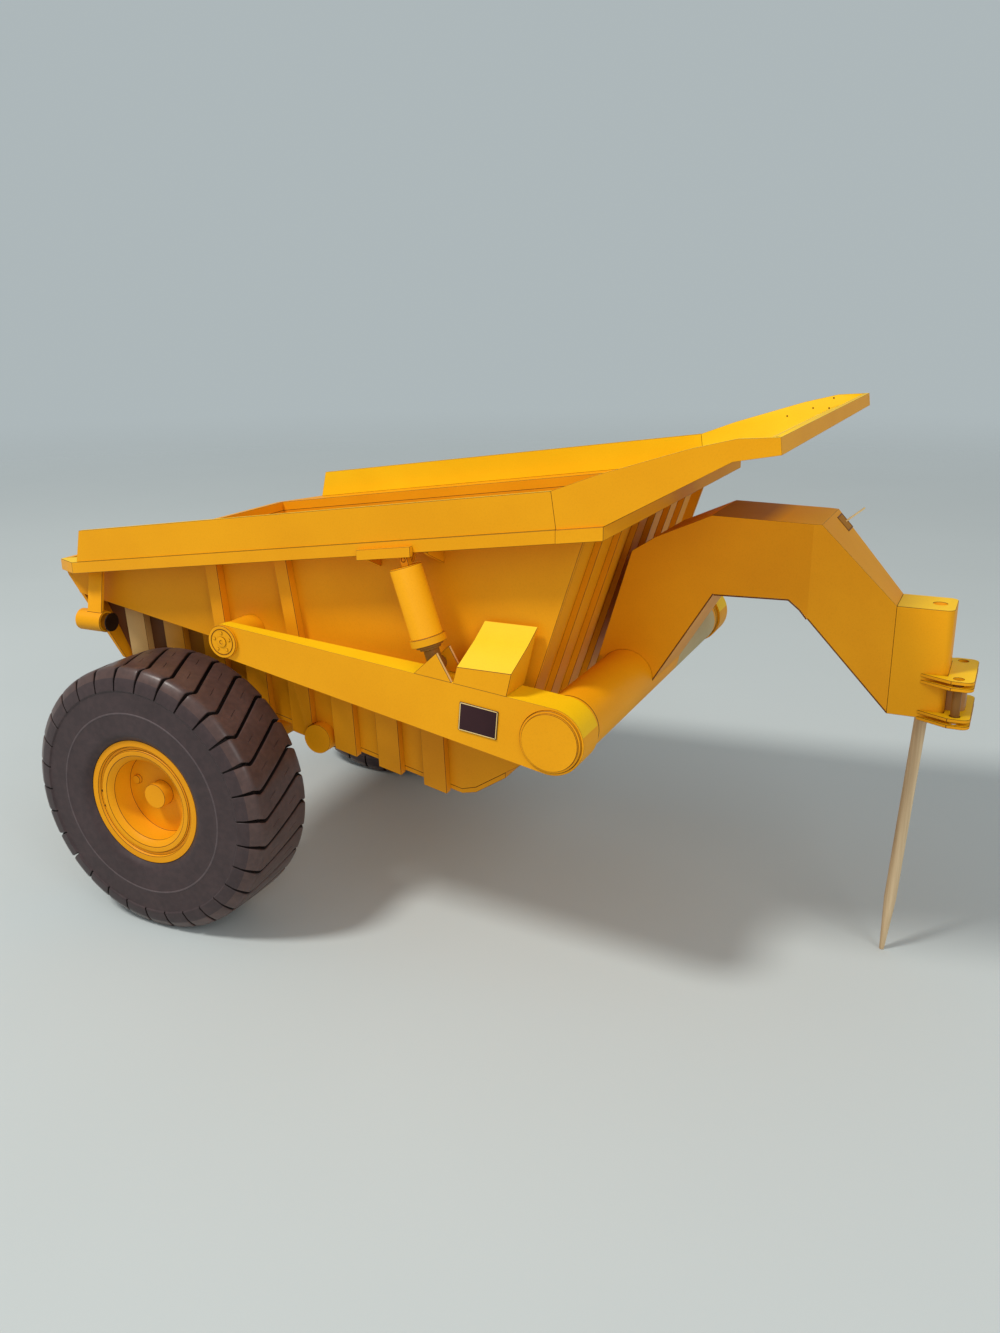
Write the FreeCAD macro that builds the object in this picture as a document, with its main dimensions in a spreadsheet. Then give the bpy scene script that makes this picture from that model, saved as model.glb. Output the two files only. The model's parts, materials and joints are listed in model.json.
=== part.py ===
import FreeCAD, Part
import os
import re
from math import pi, radians

import Sketcher

# Card scale model of a gooseneck rear-dump trailer.
# X points forward from the axle to the hitch, Y to the far side, Z up from the floor.
# The outlines are drawn with x = 0 at the axle, and FRAME_SHIFT brings the middle to the origin.

os.makedirs("parts", exist_ok=True)
doc = FreeCAD.newDocument("dump_trailer")

SIZES = (
    # Sheet stock and fits
    ("card", 1.2, "thickness of the hull sheets"),
    ("fold_card", 0.6, "thickness of folded channels"),
    ("ear_card", 0.9, "thickness of lug plates"),
    ("running_gap", 0.05, "radial clearance of turning and sliding fits"),
    ("glue_gap", 0.1, "radial clearance of glued round joints"),
    # Wheels
    ("wheel_radius", 37.0, "tyre radius to the lug tips"),
    ("tyre_width", 25.1, "tyre width"),
    ("tyre_side_gap", 1.0, "from the lower ribs to the tyre's inner side"),
    ("tyre_facets", 40, "flat facets round the tyre"),
    ("lug_count", 30, "lugs round the tyre"),
    ("bead_radius", 17.4, "tyre hole radius"),
    ("shoulder_drop", 2.6, "from the lug tips down to the shoulder"),
    ("shoulder_width", 2.8, "width of the shoulder beside the tread"),
    ("side_bulge", 0.9, "from the shoulder out to the tyre's side"),
    ("side_radius", 29.0, "radius where the tyre's side turns to the shoulder"),
    ("groove_width", 1.3, "gap between two lugs"),
    ("groove_depth", 2.0, "depth of the gap between two lugs"),
    ("groove_skew", 7.0, "how far a groove runs round the tyre from side to side"),
    ("groove_end", 7.6, "middle of the tread to the bends of a groove"),
    ("groove_run", 6.4, "how far a groove runs down the tyre's side"),
    ("groove_side", 0.4, "depth of a groove in the side, past the bulge"),
    ("rim_inset", 1.7, "rim face behind the tyre's outer side"),
    ("rim_inner_inset", 1.7, "rim's inner edge ahead of the tyre's inner side"),
    ("rim_ring", 1.8, "width of the outer flange"),
    ("rim_shell", 1.5, "thickness of the rim barrel"),
    ("well_radius", 11.3, "radius of the rim's opening"),
    ("well_depth", 7.5, "from the rim face down to the wheel disc"),
    ("disc_card", 1.2, "thickness of the wheel disc"),
    ("disc_boss_back", 8.1, "boss on the wheel disc behind its centre"),
    ("disc_boss_rise", 2.5, "that boss above the centre"),
    ("disc_boss_radius", 1.2, "its radius"),
    ("disc_boss_height", 0.9, "its height"),
    ("hub_radius", 3.4, "hub cap radius"),
    ("hub_height", 3.3, "hub cap height"),
    ("hub_sleeve_radius", 4.5, "sleeve round the spindle"),
    ("hub_sleeve_length", 9.0, "length of the sleeve behind the disc"),
    ("spindle_radius", 2.0, "spindle radius"),
    ("axle_radius", 3.0, "axle beam radius"),
    ("axle_gap", 1.6, "from the beam's end to the tyre's inner side"),
    ("hanger_place", 30.0, "axle hangers from the centre line"),
    ("hanger_card", 2.4, "thickness of an axle hanger"),
    ("hanger_half", 9.0, "half length of a hanger at the belly"),
    # Hull across
    ("wall_place", 50.5, "outer face of the upper side wall"),
    ("low_wall_inset", 10.5, "lower side wall from the upper one, at the low gauge height"),
    ("high_wall_inset", 8.0, "the same at the high gauge height"),
    ("tail_foot_inset", 6.7, "tail plate's foot from the upper side wall"),
    ("corner_flange", 3.4, "side sheet ahead of the front wall"),
    # Hull along
    ("tail_top_x", -36.6, "top of the tail plate"),
    ("tail_lean", 11.0, "from there forward to its foot"),
    ("belly_length", 104.6, "straight part of the belly"),
    ("nose_step", 4.0, "from the belly to the nose slope"),
    ("nose_length", 8.4, "nose slope"),
    ("front_lean", 20.7, "front wall from its foot to its top"),
    # Hull heights
    ("belly_drop", 8.3, "belly at the tail, below the top of the tyre"),
    ("belly_fall", 23.7, "fall of the belly from the tail to the front"),
    ("nose_rise_one", 1.0, "rise of the belly over the nose step"),
    ("nose_rise_two", 5.5, "rise of the nose slope"),
    ("fold_tail_height", 22.1, "shelf above the belly at the tail"),
    ("fold_front_height", 16.5, "shelf above the foot of the front wall"),
    ("gauge_low", 4.0, "low gauge height above the belly's front"),
    ("gauge_step", 34.0, "from the low gauge height to the high one"),
    ("tail_taper_rise", 3.2, "tail plate reaches full width this far above the shelf"),
    ("rail_gap", 4.46, "rail underside above the shelf at the tail"),
    ("rail_rise", 21.96, "rise of the rail from its rear end to the header bar"),
    # Rails, boards and canopy
    ("tail_overhang", 1.7, "rail behind the tail plate"),
    ("header_reach", 10.6, "header bar ahead of the front wall's top"),
    ("header_lap", 0.1, "header bar's rear edge behind that top"),
    ("rail_height", 3.0, "height of the rail"),
    ("rail_reach", 8.3, "rail beyond the side wall"),
    ("header_proud", 0.2, "header bar beyond the rail"),
    ("rail_corner_run", 12.6, "length of the cut rear corner"),
    ("rail_corner_depth", 8.5, "depth of the cut rear corner"),
    ("board_inset", 0.3, "side board in from the rail's edge"),
    ("board_height", 8.2, "side board above the rail"),
    ("board_start", 14.1, "side board's rear end ahead of the rail's"),
    ("board_rear_rake", 2.0, "lean of the rear end"),
    ("board_front_rake", 1.2, "lean of the front end"),
    ("canopy_length", 25.9, "canopy floor, from the header bar to its bend"),
    ("canopy_rise", 14.38, "rise of that floor"),
    ("brow_length", 9.3, "canopy floor ahead of the bend"),
    ("brow_rise", 1.7, "rise of that floor"),
    ("lip_height", 3.3, "height of the front lip"),
    ("lip_rake", 0.4, "lean of the front lip"),
    ("canopy_one_back", 2.1, "canopy side's first break, behind the header bar's front"),
    ("canopy_one_height", 10.6, "height there above the floor"),
    ("canopy_two_back", 8.3, "second break, behind the bend"),
    ("canopy_two_height", 6.8, "height there above the floor"),
    ("canopy_three_ahead", 0.7, "third break, ahead of the bend"),
    ("canopy_three_height", 4.3, "height there above the floor"),
    # Ribs and cross tube
    ("low_rib_count", 8, "ribs on the lower wall"),
    ("low_rib_start", 3.1, "first lower rib ahead of the belly's tail end"),
    ("low_rib_end", 3.3, "last lower rib behind the belly's front end"),
    ("low_rib_width", 6.5, "width of a lower rib"),
    ("low_rib_depth", 2.3, "how far a lower rib stands out"),
    ("low_rib_drop", 0.5, "lower rib below the belly"),
    ("front_rib_edge", 5.0, "outermost front rib from the side sheet"),
    ("front_rib_width", 6.4, "width of a front rib"),
    ("front_rib_depth", 1.7, "how far a front rib stands out"),
    ("front_rib_foot", 9.5, "lower end of the front ribs above the wall's foot"),
    ("side_rib_width", 3.7, "width of an upper side rib"),
    ("side_rib_depth", 2.5, "how far an upper side rib stands out"),
    ("side_rib_one_top_x", 13.5, "first upper rib at the rail"),
    ("side_rib_one_low_x", 15.3, "first upper rib at the shelf"),
    ("side_rib_two_top_x", 34.8, "second upper rib at the rail"),
    ("side_rib_two_low_x", 38.6, "second upper rib at the shelf"),
    ("cross_tube_x", 38.1, "cross tube centre"),
    ("cross_tube_rise", 0.43, "cross tube centre above the belly"),
    ("cross_tube_radius", 4.0, "cross tube radius"),
    ("cross_tube_reach", 3.6, "cross tube beyond the lower wall"),
    # Tail lamps
    ("lamp_gap", 3.5, "lamp tube's axis from the side wall"),
    ("lamp_drop", 7.6, "lamp tube's axis below the shelf at the tail"),
    ("lamp_radius", 2.9, "lamp tube radius"),
    ("lamp_bore", 2.3, "lamp tube bore"),
    ("lamp_start", 7.6, "rear end of the lamp tube ahead of the tail plate's top"),
    ("lamp_length", 8.5, "length of the lamp tube"),
    ("lamp_end_card", 1.2, "closed rear end of the lamp tube"),
    ("hanger_top_start", 5.4, "lamp hanger at the rail, from the tube's rear end"),
    ("hanger_low_start", 3.0, "lamp hanger at the tube, from its rear end"),
    ("lamp_hanger_width", 4.9, "width of the lamp hanger"),
    # Dump pivot and draft arms
    ("pivot_x", 25.1, "dump pivot"),
    ("pivot_rise", 8.2, "dump pivot above the top of the tyre"),
    ("pivot_pin_radius", 1.6, "pivot pin radius"),
    ("pivot_cap_radius", 4.1, "cap on the arm's outer face"),
    ("pivot_cap_card", 0.8, "thickness of the cap"),
    ("boss_radius", 4.0, "boss on the bowl"),
    ("boss_gap", 0.4, "from the boss to the arm"),
    ("pin_start", 1.0, "inner end of the pin from the side wall"),
    ("arm_gap", 2.5, "from the side wall to the arm's front"),
    ("arm_width", 9.0, "width of the arm at its front"),
    ("arm_rear_width", 3.0, "width of the arm at the pivot"),
    ("arm_fall", 12.9, "draft tube below the dump pivot"),
    ("arm_taper_end", 7.4, "end of the arm's taper behind the draft tube"),
    ("arm_rear_radius", 4.2, "round rear end of the arm"),
    ("arm_front_radius", 7.9, "round front end of the arm"),
    ("tube_gap", 21.0, "draft tube ahead of the front wall's foot"),
    ("tube_radius", 7.3, "draft tube radius"),
    ("tube_proud", 0.4, "draft tube beyond the arm"),
    ("tube_cap_inset", 0.6, "end disc in from the tube's edge"),
    ("tube_cap_card", 0.5, "thickness of the end disc"),
    ("box_gap", 0.4, "from the hoist's lug plates to the arm box"),
    ("box_length", 13.2, "length of the arm box"),
    ("box_overhang", 1.0, "arm box beyond the arm's inner face"),
    ("box_lean", 0.27, "forward lean of the arm box"),
    ("box_eave_rise", 14.4, "outer edge of the lid above the draft tube"),
    ("box_ridge_rise", 19.2, "inner edge of the lid"),
    ("box_top_rise", 22.9, "top of the arm box"),
    ("box_lid", 6.5, "width of the lid"),
    ("plate_back", 22.6, "blank plate's lower rear corner behind the draft tube"),
    ("plate_drop", 0.4, "that corner below the draft tube's axis"),
    ("plate_length", 9.6, "length of the blank plate"),
    ("plate_height", 6.8, "height of the blank plate"),
    ("plate_fall", 1.1, "fall of the plate along its length"),
    ("plate_lean", 0.6, "lean of its upright edges"),
    ("plate_card", 0.3, "thickness of the blank plate"),
    # Hoists
    ("hoist_back", 37.5, "hoist pin on the bowl behind the draft tube"),
    ("head_drop", 1.5, "that pin below the rail's underside"),
    ("foot_ahead", 7.6, "hoist eye on the arm ahead of the pin"),
    ("foot_rise", 2.0, "that eye above the arm"),
    ("barrel_radius", 3.75, "barrel radius"),
    ("barrel_wall", 0.45, "barrel wall"),
    ("barrel_start", 1.6, "barrel top from the pin"),
    ("barrel_top_card", 0.6, "closed top of the barrel"),
    ("collar_gap", 5.08, "from the barrel's lower end to the eye on the arm"),
    ("collar_rim", 0.45, "collar beyond the barrel"),
    ("collar_length", 1.8, "collar length"),
    ("stage_wall", 0.65, "wall of a hoist stage"),
    ("stage_step", 0.6, "each stage starts and ends this much lower"),
    ("head_eye_radius", 1.0, "eye on the barrel"),
    ("head_pin_radius", 0.5, "pin on the bowl"),
    ("head_eye_width", 1.7, "width of the barrel's eye"),
    ("head_eye_proud", 0.1, "that eye beyond the hoist's axis"),
    ("foot_eye_radius", 1.6, "eye at the rod's end"),
    ("foot_ear_space", 5.3, "space between the lug plates"),
    ("foot_eye_gap", 0.2, "side clearance of the rod's eye"),
    ("ear_back", 3.9, "lug plate behind the eye, at the arm"),
    ("ear_top_ahead", 2.0, "lug plate's top ahead of the eye"),
    ("ear_top_rise", 3.9, "lug plate's top above the eye"),
    ("ear_ahead", 5.7, "lug plate ahead of the eye, at the arm"),
    ("pad_back", 11.5, "hoist pad's rear end behind the pin"),
    ("pad_length", 14.1, "length of the hoist pad"),
    ("pad_card", 1.2, "thickness of the pad"),
    ("pad_drop", 0.8, "pad below the rail"),
    ("pad_reach", 1.6, "pad above the rail's underside"),
    ("gusset_ahead", 5.3, "front gusset ahead of the pin"),
    ("gusset_drop", 4.0, "depth of a gusset at the wall"),
    ("head_ear_card", 1.4, "thickness of the pin's lug plate"),
    # Gooseneck, from the draft tube's axis
    ("neck_half", 12.0, "half width of the gooseneck"),
    ("neck_heel_back", 7.2, "heel of the gooseneck, behind"),
    ("neck_heel_rise", 5.2, "heel, above"),
    ("neck_back_run", 1.0, "top of the rear face, ahead"),
    ("neck_back_rise", 33.1, "top of the rear face, above"),
    ("neck_slope_run", 7.0, "first break of the top, ahead"),
    ("neck_slope_rise", 37.0, "first break, above"),
    ("neck_crest_run", 20.7, "second break of the top, ahead"),
    ("neck_crest_rise", 43.2, "second break, above"),
    ("neck_brow_run", 46.4, "front end of the top, ahead"),
    ("neck_brow_rise", 42.7, "front end, above"),
    ("neck_throat_run", 6.7, "front of the neck at the tube, ahead"),
    ("neck_throat_drop", 1.2, "and below"),
    ("arch_rear_run", 22.0, "arch's rear end, ahead"),
    ("arch_rear_rise", 24.0, "arch's rear end, above"),
    ("arch_front_run", 40.0, "arch's front end, ahead"),
    ("arch_front_rise", 24.5, "arch's front end, above"),
    ("arch_bend_run", 42.8, "arch's front bend, ahead"),
    ("arch_bend_rise", 22.3, "arch's front bend, above"),
    ("neck_taper_run", 44.6, "start of the taper to the hitch, ahead"),
    ("hitch_run", 63.9, "rear face of the hitch box, ahead"),
    # Hitch and prop
    ("hitch_length", 12.7, "length of the hitch box"),
    ("hitch_half", 6.5, "half width of the hitch box"),
    ("hitch_drop", 2.5, "underside of the hitch box below the draft tube's axis"),
    ("hitch_height", 26.5, "height of the hitch box"),
    ("hitch_round", 2.0, "rounded front edges"),
    ("hitch_hole_back", 3.7, "hole in the top, behind the front face"),
    ("hitch_hole_radius", 1.6, "radius of that hole"),
    ("hitch_hole_depth", 10.0, "depth of that hole"),
    ("lug_back", 6.0, "hitch lugs' rear end behind the box's front face"),
    ("lug_wide_run", 1.0, "hitch lugs reach full width this far ahead of it"),
    ("lug_reach", 6.0, "hitch lugs' front edge ahead of it"),
    ("lug_side", 3.5, "hitch lugs beyond the box's side"),
    ("lug_round", 2.0, "rounded lug corners"),
    ("lug_card", 0.8, "thickness of one lug plate"),
    ("upper_lug_rise", 10.2, "topmost lug plate above the box's underside"),
    ("lower_lug_rise", 1.1, "lower pair, upper plate, above the box's underside"),
    ("lug_step", 1.6, "from one plate of a pair to the other"),
    ("lug_hole_back", 3.5, "pin holes behind the lugs' front edge"),
    ("lug_hole_inset", 2.4, "pin holes in from the lugs' sides"),
    ("lug_hole_radius", 1.2, "pin hole radius"),
    ("block_inset", 1.6, "block between the lugs, behind their front edge"),
    ("block_half", 4.0, "half width of that block"),
    ("stick_back", 5.1, "prop stick under the hitch box, behind its front face"),
    ("stick_lean", 3.5, "from there back to its tip on the floor"),
    ("stick_radius", 1.5, "prop stick radius"),
    ("stick_tip_radius", 0.6, "blunt tip"),
    ("stick_taper", 15.0, "length of the tapered end"),
)

sheet = doc.addObject("Spreadsheet::Sheet", "Sizes")
for row, (alias, value, meaning) in enumerate(SIZES, start=1):
    sheet.set(f"A{row}", alias)
    sheet.set(f"B{row}", str(value))
    sheet.set(f"C{row}", meaning)
    sheet.setAlias(f"B{row}", alias)
doc.recompute()

ALIASES = {alias for alias, value, meaning in SIZES}
SIDES = {"near": -1, "far": 1}
parts = []


# Places worked out from the sizes, each from the piece that it sits on

PLACES = {
    "tyre_top": "(2 * wheel_radius)",
    "low_wall_place": "(wall_place - low_wall_inset)",
    "high_wall_place": "(wall_place - high_wall_inset)",
    "wheel_place": "(high_wall_place + low_rib_depth + tyre_side_gap + tyre_width / 2)",
    "tread_half": "(tyre_width / 2 - shoulder_width)",
    "axle_half": "(wheel_place - tyre_width / 2 - axle_gap)",
    "tail_foot_half": "(wall_place - tail_foot_inset)",
    "tail_foot_x": "(tail_top_x + tail_lean)",
    "tail_foot_z": "(tyre_top - belly_drop)",
    "belly_front_x": "(tail_foot_x + belly_length)",
    "belly_front_z": "(tail_foot_z - belly_fall)",
    "nose_x": "(belly_front_x + nose_step)",
    "nose_z": "(belly_front_z + nose_rise_one)",
    "front_foot_x": "(nose_x + nose_length)",
    "front_foot_z": "(nose_z + nose_rise_two)",
    "front_top_x": "(front_foot_x + front_lean)",
    "low_wall_low_z": "(belly_front_z + gauge_low)",
    "low_wall_high_z": "(low_wall_low_z + gauge_step)",
    "fold_tail_z": "(tail_foot_z + fold_tail_height)",
    "fold_front_z": "(front_foot_z + fold_front_height)",
    "tail_taper_z": "(fold_tail_z + tail_taper_rise)",
    "rail_rear_x": "(tail_top_x - tail_overhang)",
    "rail_rear_z": "(fold_tail_z + rail_gap)",
    "rail_front_x": "(front_top_x + header_reach)",
    "rail_front_z": "(rail_rear_z + rail_rise)",
    "rail_outer": "(wall_place + rail_reach)",
    "rail_corner_x": "(rail_rear_x + rail_corner_run)",
    "rail_corner_place": "(rail_outer - rail_corner_depth)",
    "header_x": "(front_top_x - header_lap)",
    "header_half": "(rail_outer + header_proud)",
    "board_place": "(rail_outer - board_inset)",
    "board_rear_x": "(rail_rear_x + board_start)",
    "canopy_bend_x": "(rail_front_x + canopy_length)",
    "canopy_bend_z": "(rail_front_z + rail_height + canopy_rise)",
    "canopy_front_x": "(canopy_bend_x + brow_length)",
    "canopy_front_z": "(canopy_bend_z + brow_rise)",
    "canopy_top_x": "(canopy_front_x - lip_rake)",
    "canopy_top_z": "(canopy_front_z + lip_height)",
    "low_rib_x": "(tail_foot_x + low_rib_start)",
    "low_rib_pitch": "((belly_front_x - low_rib_end - low_rib_x - low_rib_width) / (low_rib_count - 1))",
    "front_rib_pitch": "((wall_place - card - front_rib_edge - front_rib_width / 2) / 3)",
    "front_rib_low_z": "(front_foot_z + front_rib_foot)",
    "cross_tube_half": "(low_wall_place + cross_tube_reach)",
    "lamp_place": "(wall_place + lamp_gap)",
    "lamp_z": "(fold_tail_z - lamp_drop)",
    "lamp_rear_x": "(tail_top_x + lamp_start)",
    "lamp_front_x": "(lamp_rear_x + lamp_length)",
    "hanger_top_x": "(lamp_rear_x + hanger_top_start)",
    "hanger_low_x": "(lamp_rear_x + hanger_low_start)",
    "pivot_z": "(tyre_top + pivot_rise)",
    "pin_inner": "(wall_place + pin_start)",
    "arm_inner_front": "(wall_place + arm_gap)",
    "arm_outer": "(arm_inner_front + arm_width)",
    "arm_inner_rear": "(arm_outer - arm_rear_width)",
    "boss_outer": "(arm_inner_rear - boss_gap)",
    "tube_x": "(front_foot_x + tube_gap)",
    "tube_z": "(pivot_z - arm_fall)",
    "tube_half": "(arm_outer + tube_proud)",
    "tube_cap_radius": "(tube_radius - tube_cap_inset)",
    "arm_taper_x": "(tube_x - arm_taper_end)",
    "head_x": "(tube_x - hoist_back)",
    "foot_x": "(head_x + foot_ahead)",
    "box_rear_x": "(ear_front_x + box_gap)",
    "box_front_x": "(box_rear_x + box_length)",
    "box_inner": "(arm_inner_front - box_overhang)",
    "box_eave_z": "(tube_z + box_eave_rise)",
    "box_ridge_z": "(tube_z + box_ridge_rise)",
    "box_ridge_place": "(arm_outer - box_lid)",
    "box_top_z": "(tube_z + box_top_rise)",
    "plate_x": "(tube_x - plate_back)",
    "plate_z": "(tube_z - plate_drop)",
    "space_outer": "(arm_outer - ear_card)",
    "space_inner": "(space_outer - foot_ear_space)",
    "hoist_place": "(space_outer - foot_ear_space / 2)",
    "head_eye_outer": "(hoist_place + head_eye_proud)",
    "head_eye_inner": "(head_eye_outer - head_eye_width)",
    "head_ear_outer": "(head_eye_inner - 2 * running_gap)",
    "collar_radius": "(barrel_radius + collar_rim)",
    "ear_rear_x": "(foot_x - ear_back)",
    "ear_top_x": "(foot_x + ear_top_ahead)",
    "ear_front_x": "(foot_x + ear_ahead)",
    "pad_rear_x": "(head_x - pad_back)",
    "pad_front_x": "(pad_rear_x + pad_length)",
    "gusset_front_x": "(head_x + gusset_ahead)",
    "neck_heel_x": "(tube_x - neck_heel_back)",
    "neck_heel_z": "(tube_z + neck_heel_rise)",
    "neck_back_x": "(tube_x + neck_back_run)",
    "neck_back_z": "(tube_z + neck_back_rise)",
    "neck_slope_x": "(tube_x + neck_slope_run)",
    "neck_slope_z": "(tube_z + neck_slope_rise)",
    "neck_crest_x": "(tube_x + neck_crest_run)",
    "neck_crest_z": "(tube_z + neck_crest_rise)",
    "neck_brow_x": "(tube_x + neck_brow_run)",
    "neck_brow_z": "(tube_z + neck_brow_rise)",
    "neck_throat_x": "(tube_x + neck_throat_run)",
    "neck_throat_z": "(tube_z - neck_throat_drop)",
    "arch_rear_x": "(tube_x + arch_rear_run)",
    "arch_rear_z": "(tube_z + arch_rear_rise)",
    "arch_front_x": "(tube_x + arch_front_run)",
    "arch_front_z": "(tube_z + arch_front_rise)",
    "arch_bend_x": "(tube_x + arch_bend_run)",
    "arch_bend_z": "(tube_z + arch_bend_rise)",
    "neck_taper_x": "(tube_x + neck_taper_run)",
    "hitch_rear_x": "(tube_x + hitch_run)",
    "hitch_front_x": "(hitch_rear_x + hitch_length)",
    "hitch_low_z": "(tube_z - hitch_drop)",
    "hitch_top_z": "(hitch_low_z + hitch_height)",
    "hitch_hole_x": "(hitch_front_x - hitch_hole_back)",
    "lug_rear_x": "(hitch_front_x - lug_back)",
    "lug_wide_x": "(hitch_front_x + lug_wide_run)",
    "lug_front_x": "(hitch_front_x + lug_reach)",
    "lug_half": "(hitch_half + lug_side)",
    "upper_lug_z": "(hitch_low_z + upper_lug_rise)",
    "lower_lug_z": "(hitch_low_z + lower_lug_rise)",
    "lug_hole_x": "(lug_front_x - lug_hole_back)",
    "lug_hole_place": "(lug_half - lug_hole_inset)",
    "block_front_x": "(lug_front_x - block_inset)",
    "stick_top_x": "(hitch_front_x - stick_back)",
    "stick_tip_x": "(stick_top_x - stick_lean)",
}


# Expressions

def spell_out(expression):
    """The expression with every place written out in sizes of the sheet."""
    while True:
        longer = re.sub(r"[a-z_]+", lambda word: PLACES.get(word[0], word[0]), expression)
        if longer == expression:
            return expression
        expression = longer


def bound(expression):
    """The expression as an object outside the sheet has to write it."""
    full = spell_out(expression)
    return re.sub(r"[a-z_]+", lambda word: f"Sizes.{word[0]}" if word[0] in ALIASES else word[0], full)


def bind(item, place, expression):
    item.setExpression(place, bound(expression))


def value_of(expression):
    return float(sheet.evalExpression(spell_out(expression)))


def on_line(at, a, u, b, v):
    """Value at `at` on the straight line through (a, u) and (b, v)."""
    return f"({u} + ({at} - ({a})) * ({v} - ({u})) / ({b} - ({a})))"


def stretch(run, rise):
    """How much longer a cut across a slope is than a cut square to it."""
    return f"sqrt(1 + (({rise}) / ({run}))^2)"


# Lines of the hull, from which its sheets take their ends

BELLY_RISE = f"card * {stretch('belly_front_x - tail_foot_x', 'belly_front_z - tail_foot_z')}"
NOSE_SLOPE = "((front_foot_z - nose_z) / (front_foot_x - nose_x))"
NOSE_RISE = f"card * {stretch('front_foot_x - nose_x', 'front_foot_z - nose_z')}"
FRAME_SHIFT = "-(lug_front_x + rail_rear_x) / 2"


def rail_low(x):
    return on_line(x, "rail_rear_x", "rail_rear_z", "rail_front_x", "rail_front_z")


def rail_top(x):
    return f"({rail_low(x)} + rail_height)"


def belly(x):
    return on_line(x, "tail_foot_x", "tail_foot_z", "belly_front_x", "belly_front_z")


def belly_top(x):
    return f"({belly(x)} + {BELLY_RISE})"


def nose_top(x):
    return f"(nose_z + {NOSE_RISE} + ({x} - nose_x) * {NOSE_SLOPE})"


def tail_x(z):
    return on_line(z, belly_top("tail_foot_x"), "tail_foot_x", rail_low("tail_top_x"), "tail_top_x")


def front_x(z):
    return on_line(z, nose_top("front_foot_x"), "front_foot_x", rail_low("front_top_x"), "front_top_x")


def corner_x(z):
    return f"({front_x(z)} + corner_flange)"


TAIL_RUN = f"card * {stretch(rail_low('tail_top_x') + ' - ' + belly_top('tail_foot_x'), 'tail_top_x - tail_foot_x')}"
FRONT_LEAN = f"((front_top_x - front_foot_x) / ({rail_low('front_top_x')} - {nose_top('front_foot_x')}))"
FRONT_RUN = f"sqrt(1 + {FRONT_LEAN}^2)"
CORNER_LOW_X = f"(front_foot_x + corner_flange / (1 - {NOSE_SLOPE} * {FRONT_LEAN}))"


def tail_inside(z):
    return f"({tail_x(z)} + {TAIL_RUN})"


def fold(x):
    return on_line(x, tail_x("fold_tail_z"), "fold_tail_z", corner_x("fold_front_z"), "fold_front_z")


def low_wall(z):
    return on_line(z, "low_wall_low_z", "low_wall_place", "low_wall_high_z", "high_wall_place")


FOLD_SLOPE = f"((fold_tail_z - fold_front_z) / ({corner_x('fold_front_z')} - {tail_x('fold_tail_z')}))"
WALL_SLOPE = "((high_wall_place - low_wall_place) / (low_wall_high_z - low_wall_low_z))"
WALL_LENGTHEN = f"sqrt(1 + {WALL_SLOPE}^2)"
FOLD_LENGTHEN = f"sqrt(1 + {FOLD_SLOPE}^2)"


ARM_REACH = "sqrt((tube_x - pivot_x)^2 + (tube_z - pivot_z)^2)"
ARM_SPREAD = f"asin((arm_front_radius - arm_rear_radius) / {ARM_REACH})"
ARM_FALL = "atan((tube_z - pivot_z) / (tube_x - pivot_x))"


def arm_top(x):
    """Upper tangent of the arm's two round ends."""
    slope = f"({ARM_FALL} + {ARM_SPREAD})"
    return f"(pivot_z + arm_rear_radius / cos({slope}) + ({x} - pivot_x) * tan({slope}))"


PLACES.update({
    "cross_tube_z": f"({belly('cross_tube_x')} + cross_tube_rise)",
    "head_z": f"({rail_low('head_x')} - head_drop)",
    "foot_z": f"({arm_top('foot_x')} + foot_rise)",
    "ear_top_z": "(foot_z + ear_top_rise)",
})


# Sketches and features

def new_body(label):
    body = doc.addObject("PartDesign::Body", label)
    bind(body, "Placement.Base.x", FRAME_SHIFT)
    parts.append(body)
    return body


def origin_feature(body, role):
    return [item for item in body.Origin.OriginFeatures if item.Role == role][0]


def new_sketch(body, plane, offset="0", rise="0", turn=None):
    """Sketch on an origin plane, moved along its normal and upwards, then turned about an axis of its own."""
    sketch = body.newObject("Sketcher::SketchObject", f"{body.Label}_sketch")
    sketch.AttachmentSupport = (origin_feature(body, plane), [""])
    sketch.MapMode = "FlatFace"
    if turn:
        axis, angle = turn
        sketch.AttachmentOffset = FreeCAD.Placement(FreeCAD.Vector(), FreeCAD.Rotation(axis, 1))
        bind(sketch, "AttachmentOffset.Rotation.Angle", angle)
    bind(sketch, "AttachmentOffset.Base.z", offset)
    bind(sketch, "AttachmentOffset.Base.y", rise)
    return sketch


def hold(sketch, geometry, point, x, y):
    """Dimension a point from the sketch's origin."""
    for kind, expression in (("DistanceX", x), ("DistanceY", y)):
        size = Sketcher.Constraint(kind, -1, 1, geometry, point, value_of(expression))
        bind(sketch, f"Constraints[{sketch.addConstraint(size)}]", expression)


def draw_polygon(sketch, points):
    first = sketch.GeometryCount
    count = len(points)
    places = [FreeCAD.Vector(value_of(x), value_of(y), 0) for x, y in points]
    for index in range(count):
        sketch.addGeometry(Part.LineSegment(places[index], places[(index + 1) % count]), False)
    for index in range(count):
        after = first + (index + 1) % count
        sketch.addConstraint(Sketcher.Constraint("Coincident", first + index, 2, after, 1))
    for index, (x, y) in enumerate(points):
        hold(sketch, first + index, 1, x, y)


def draw_circle(sketch, x, y, radius):
    centre = FreeCAD.Vector(value_of(x), value_of(y), 0)
    circle = sketch.addGeometry(Part.Circle(centre, FreeCAD.Vector(0, 0, 1), value_of(radius)), False)
    hold(sketch, circle, 3, x, y)
    size = sketch.addConstraint(Sketcher.Constraint("Radius", circle, value_of(radius)))
    bind(sketch, f"Constraints[{size}]", radius)


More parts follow.
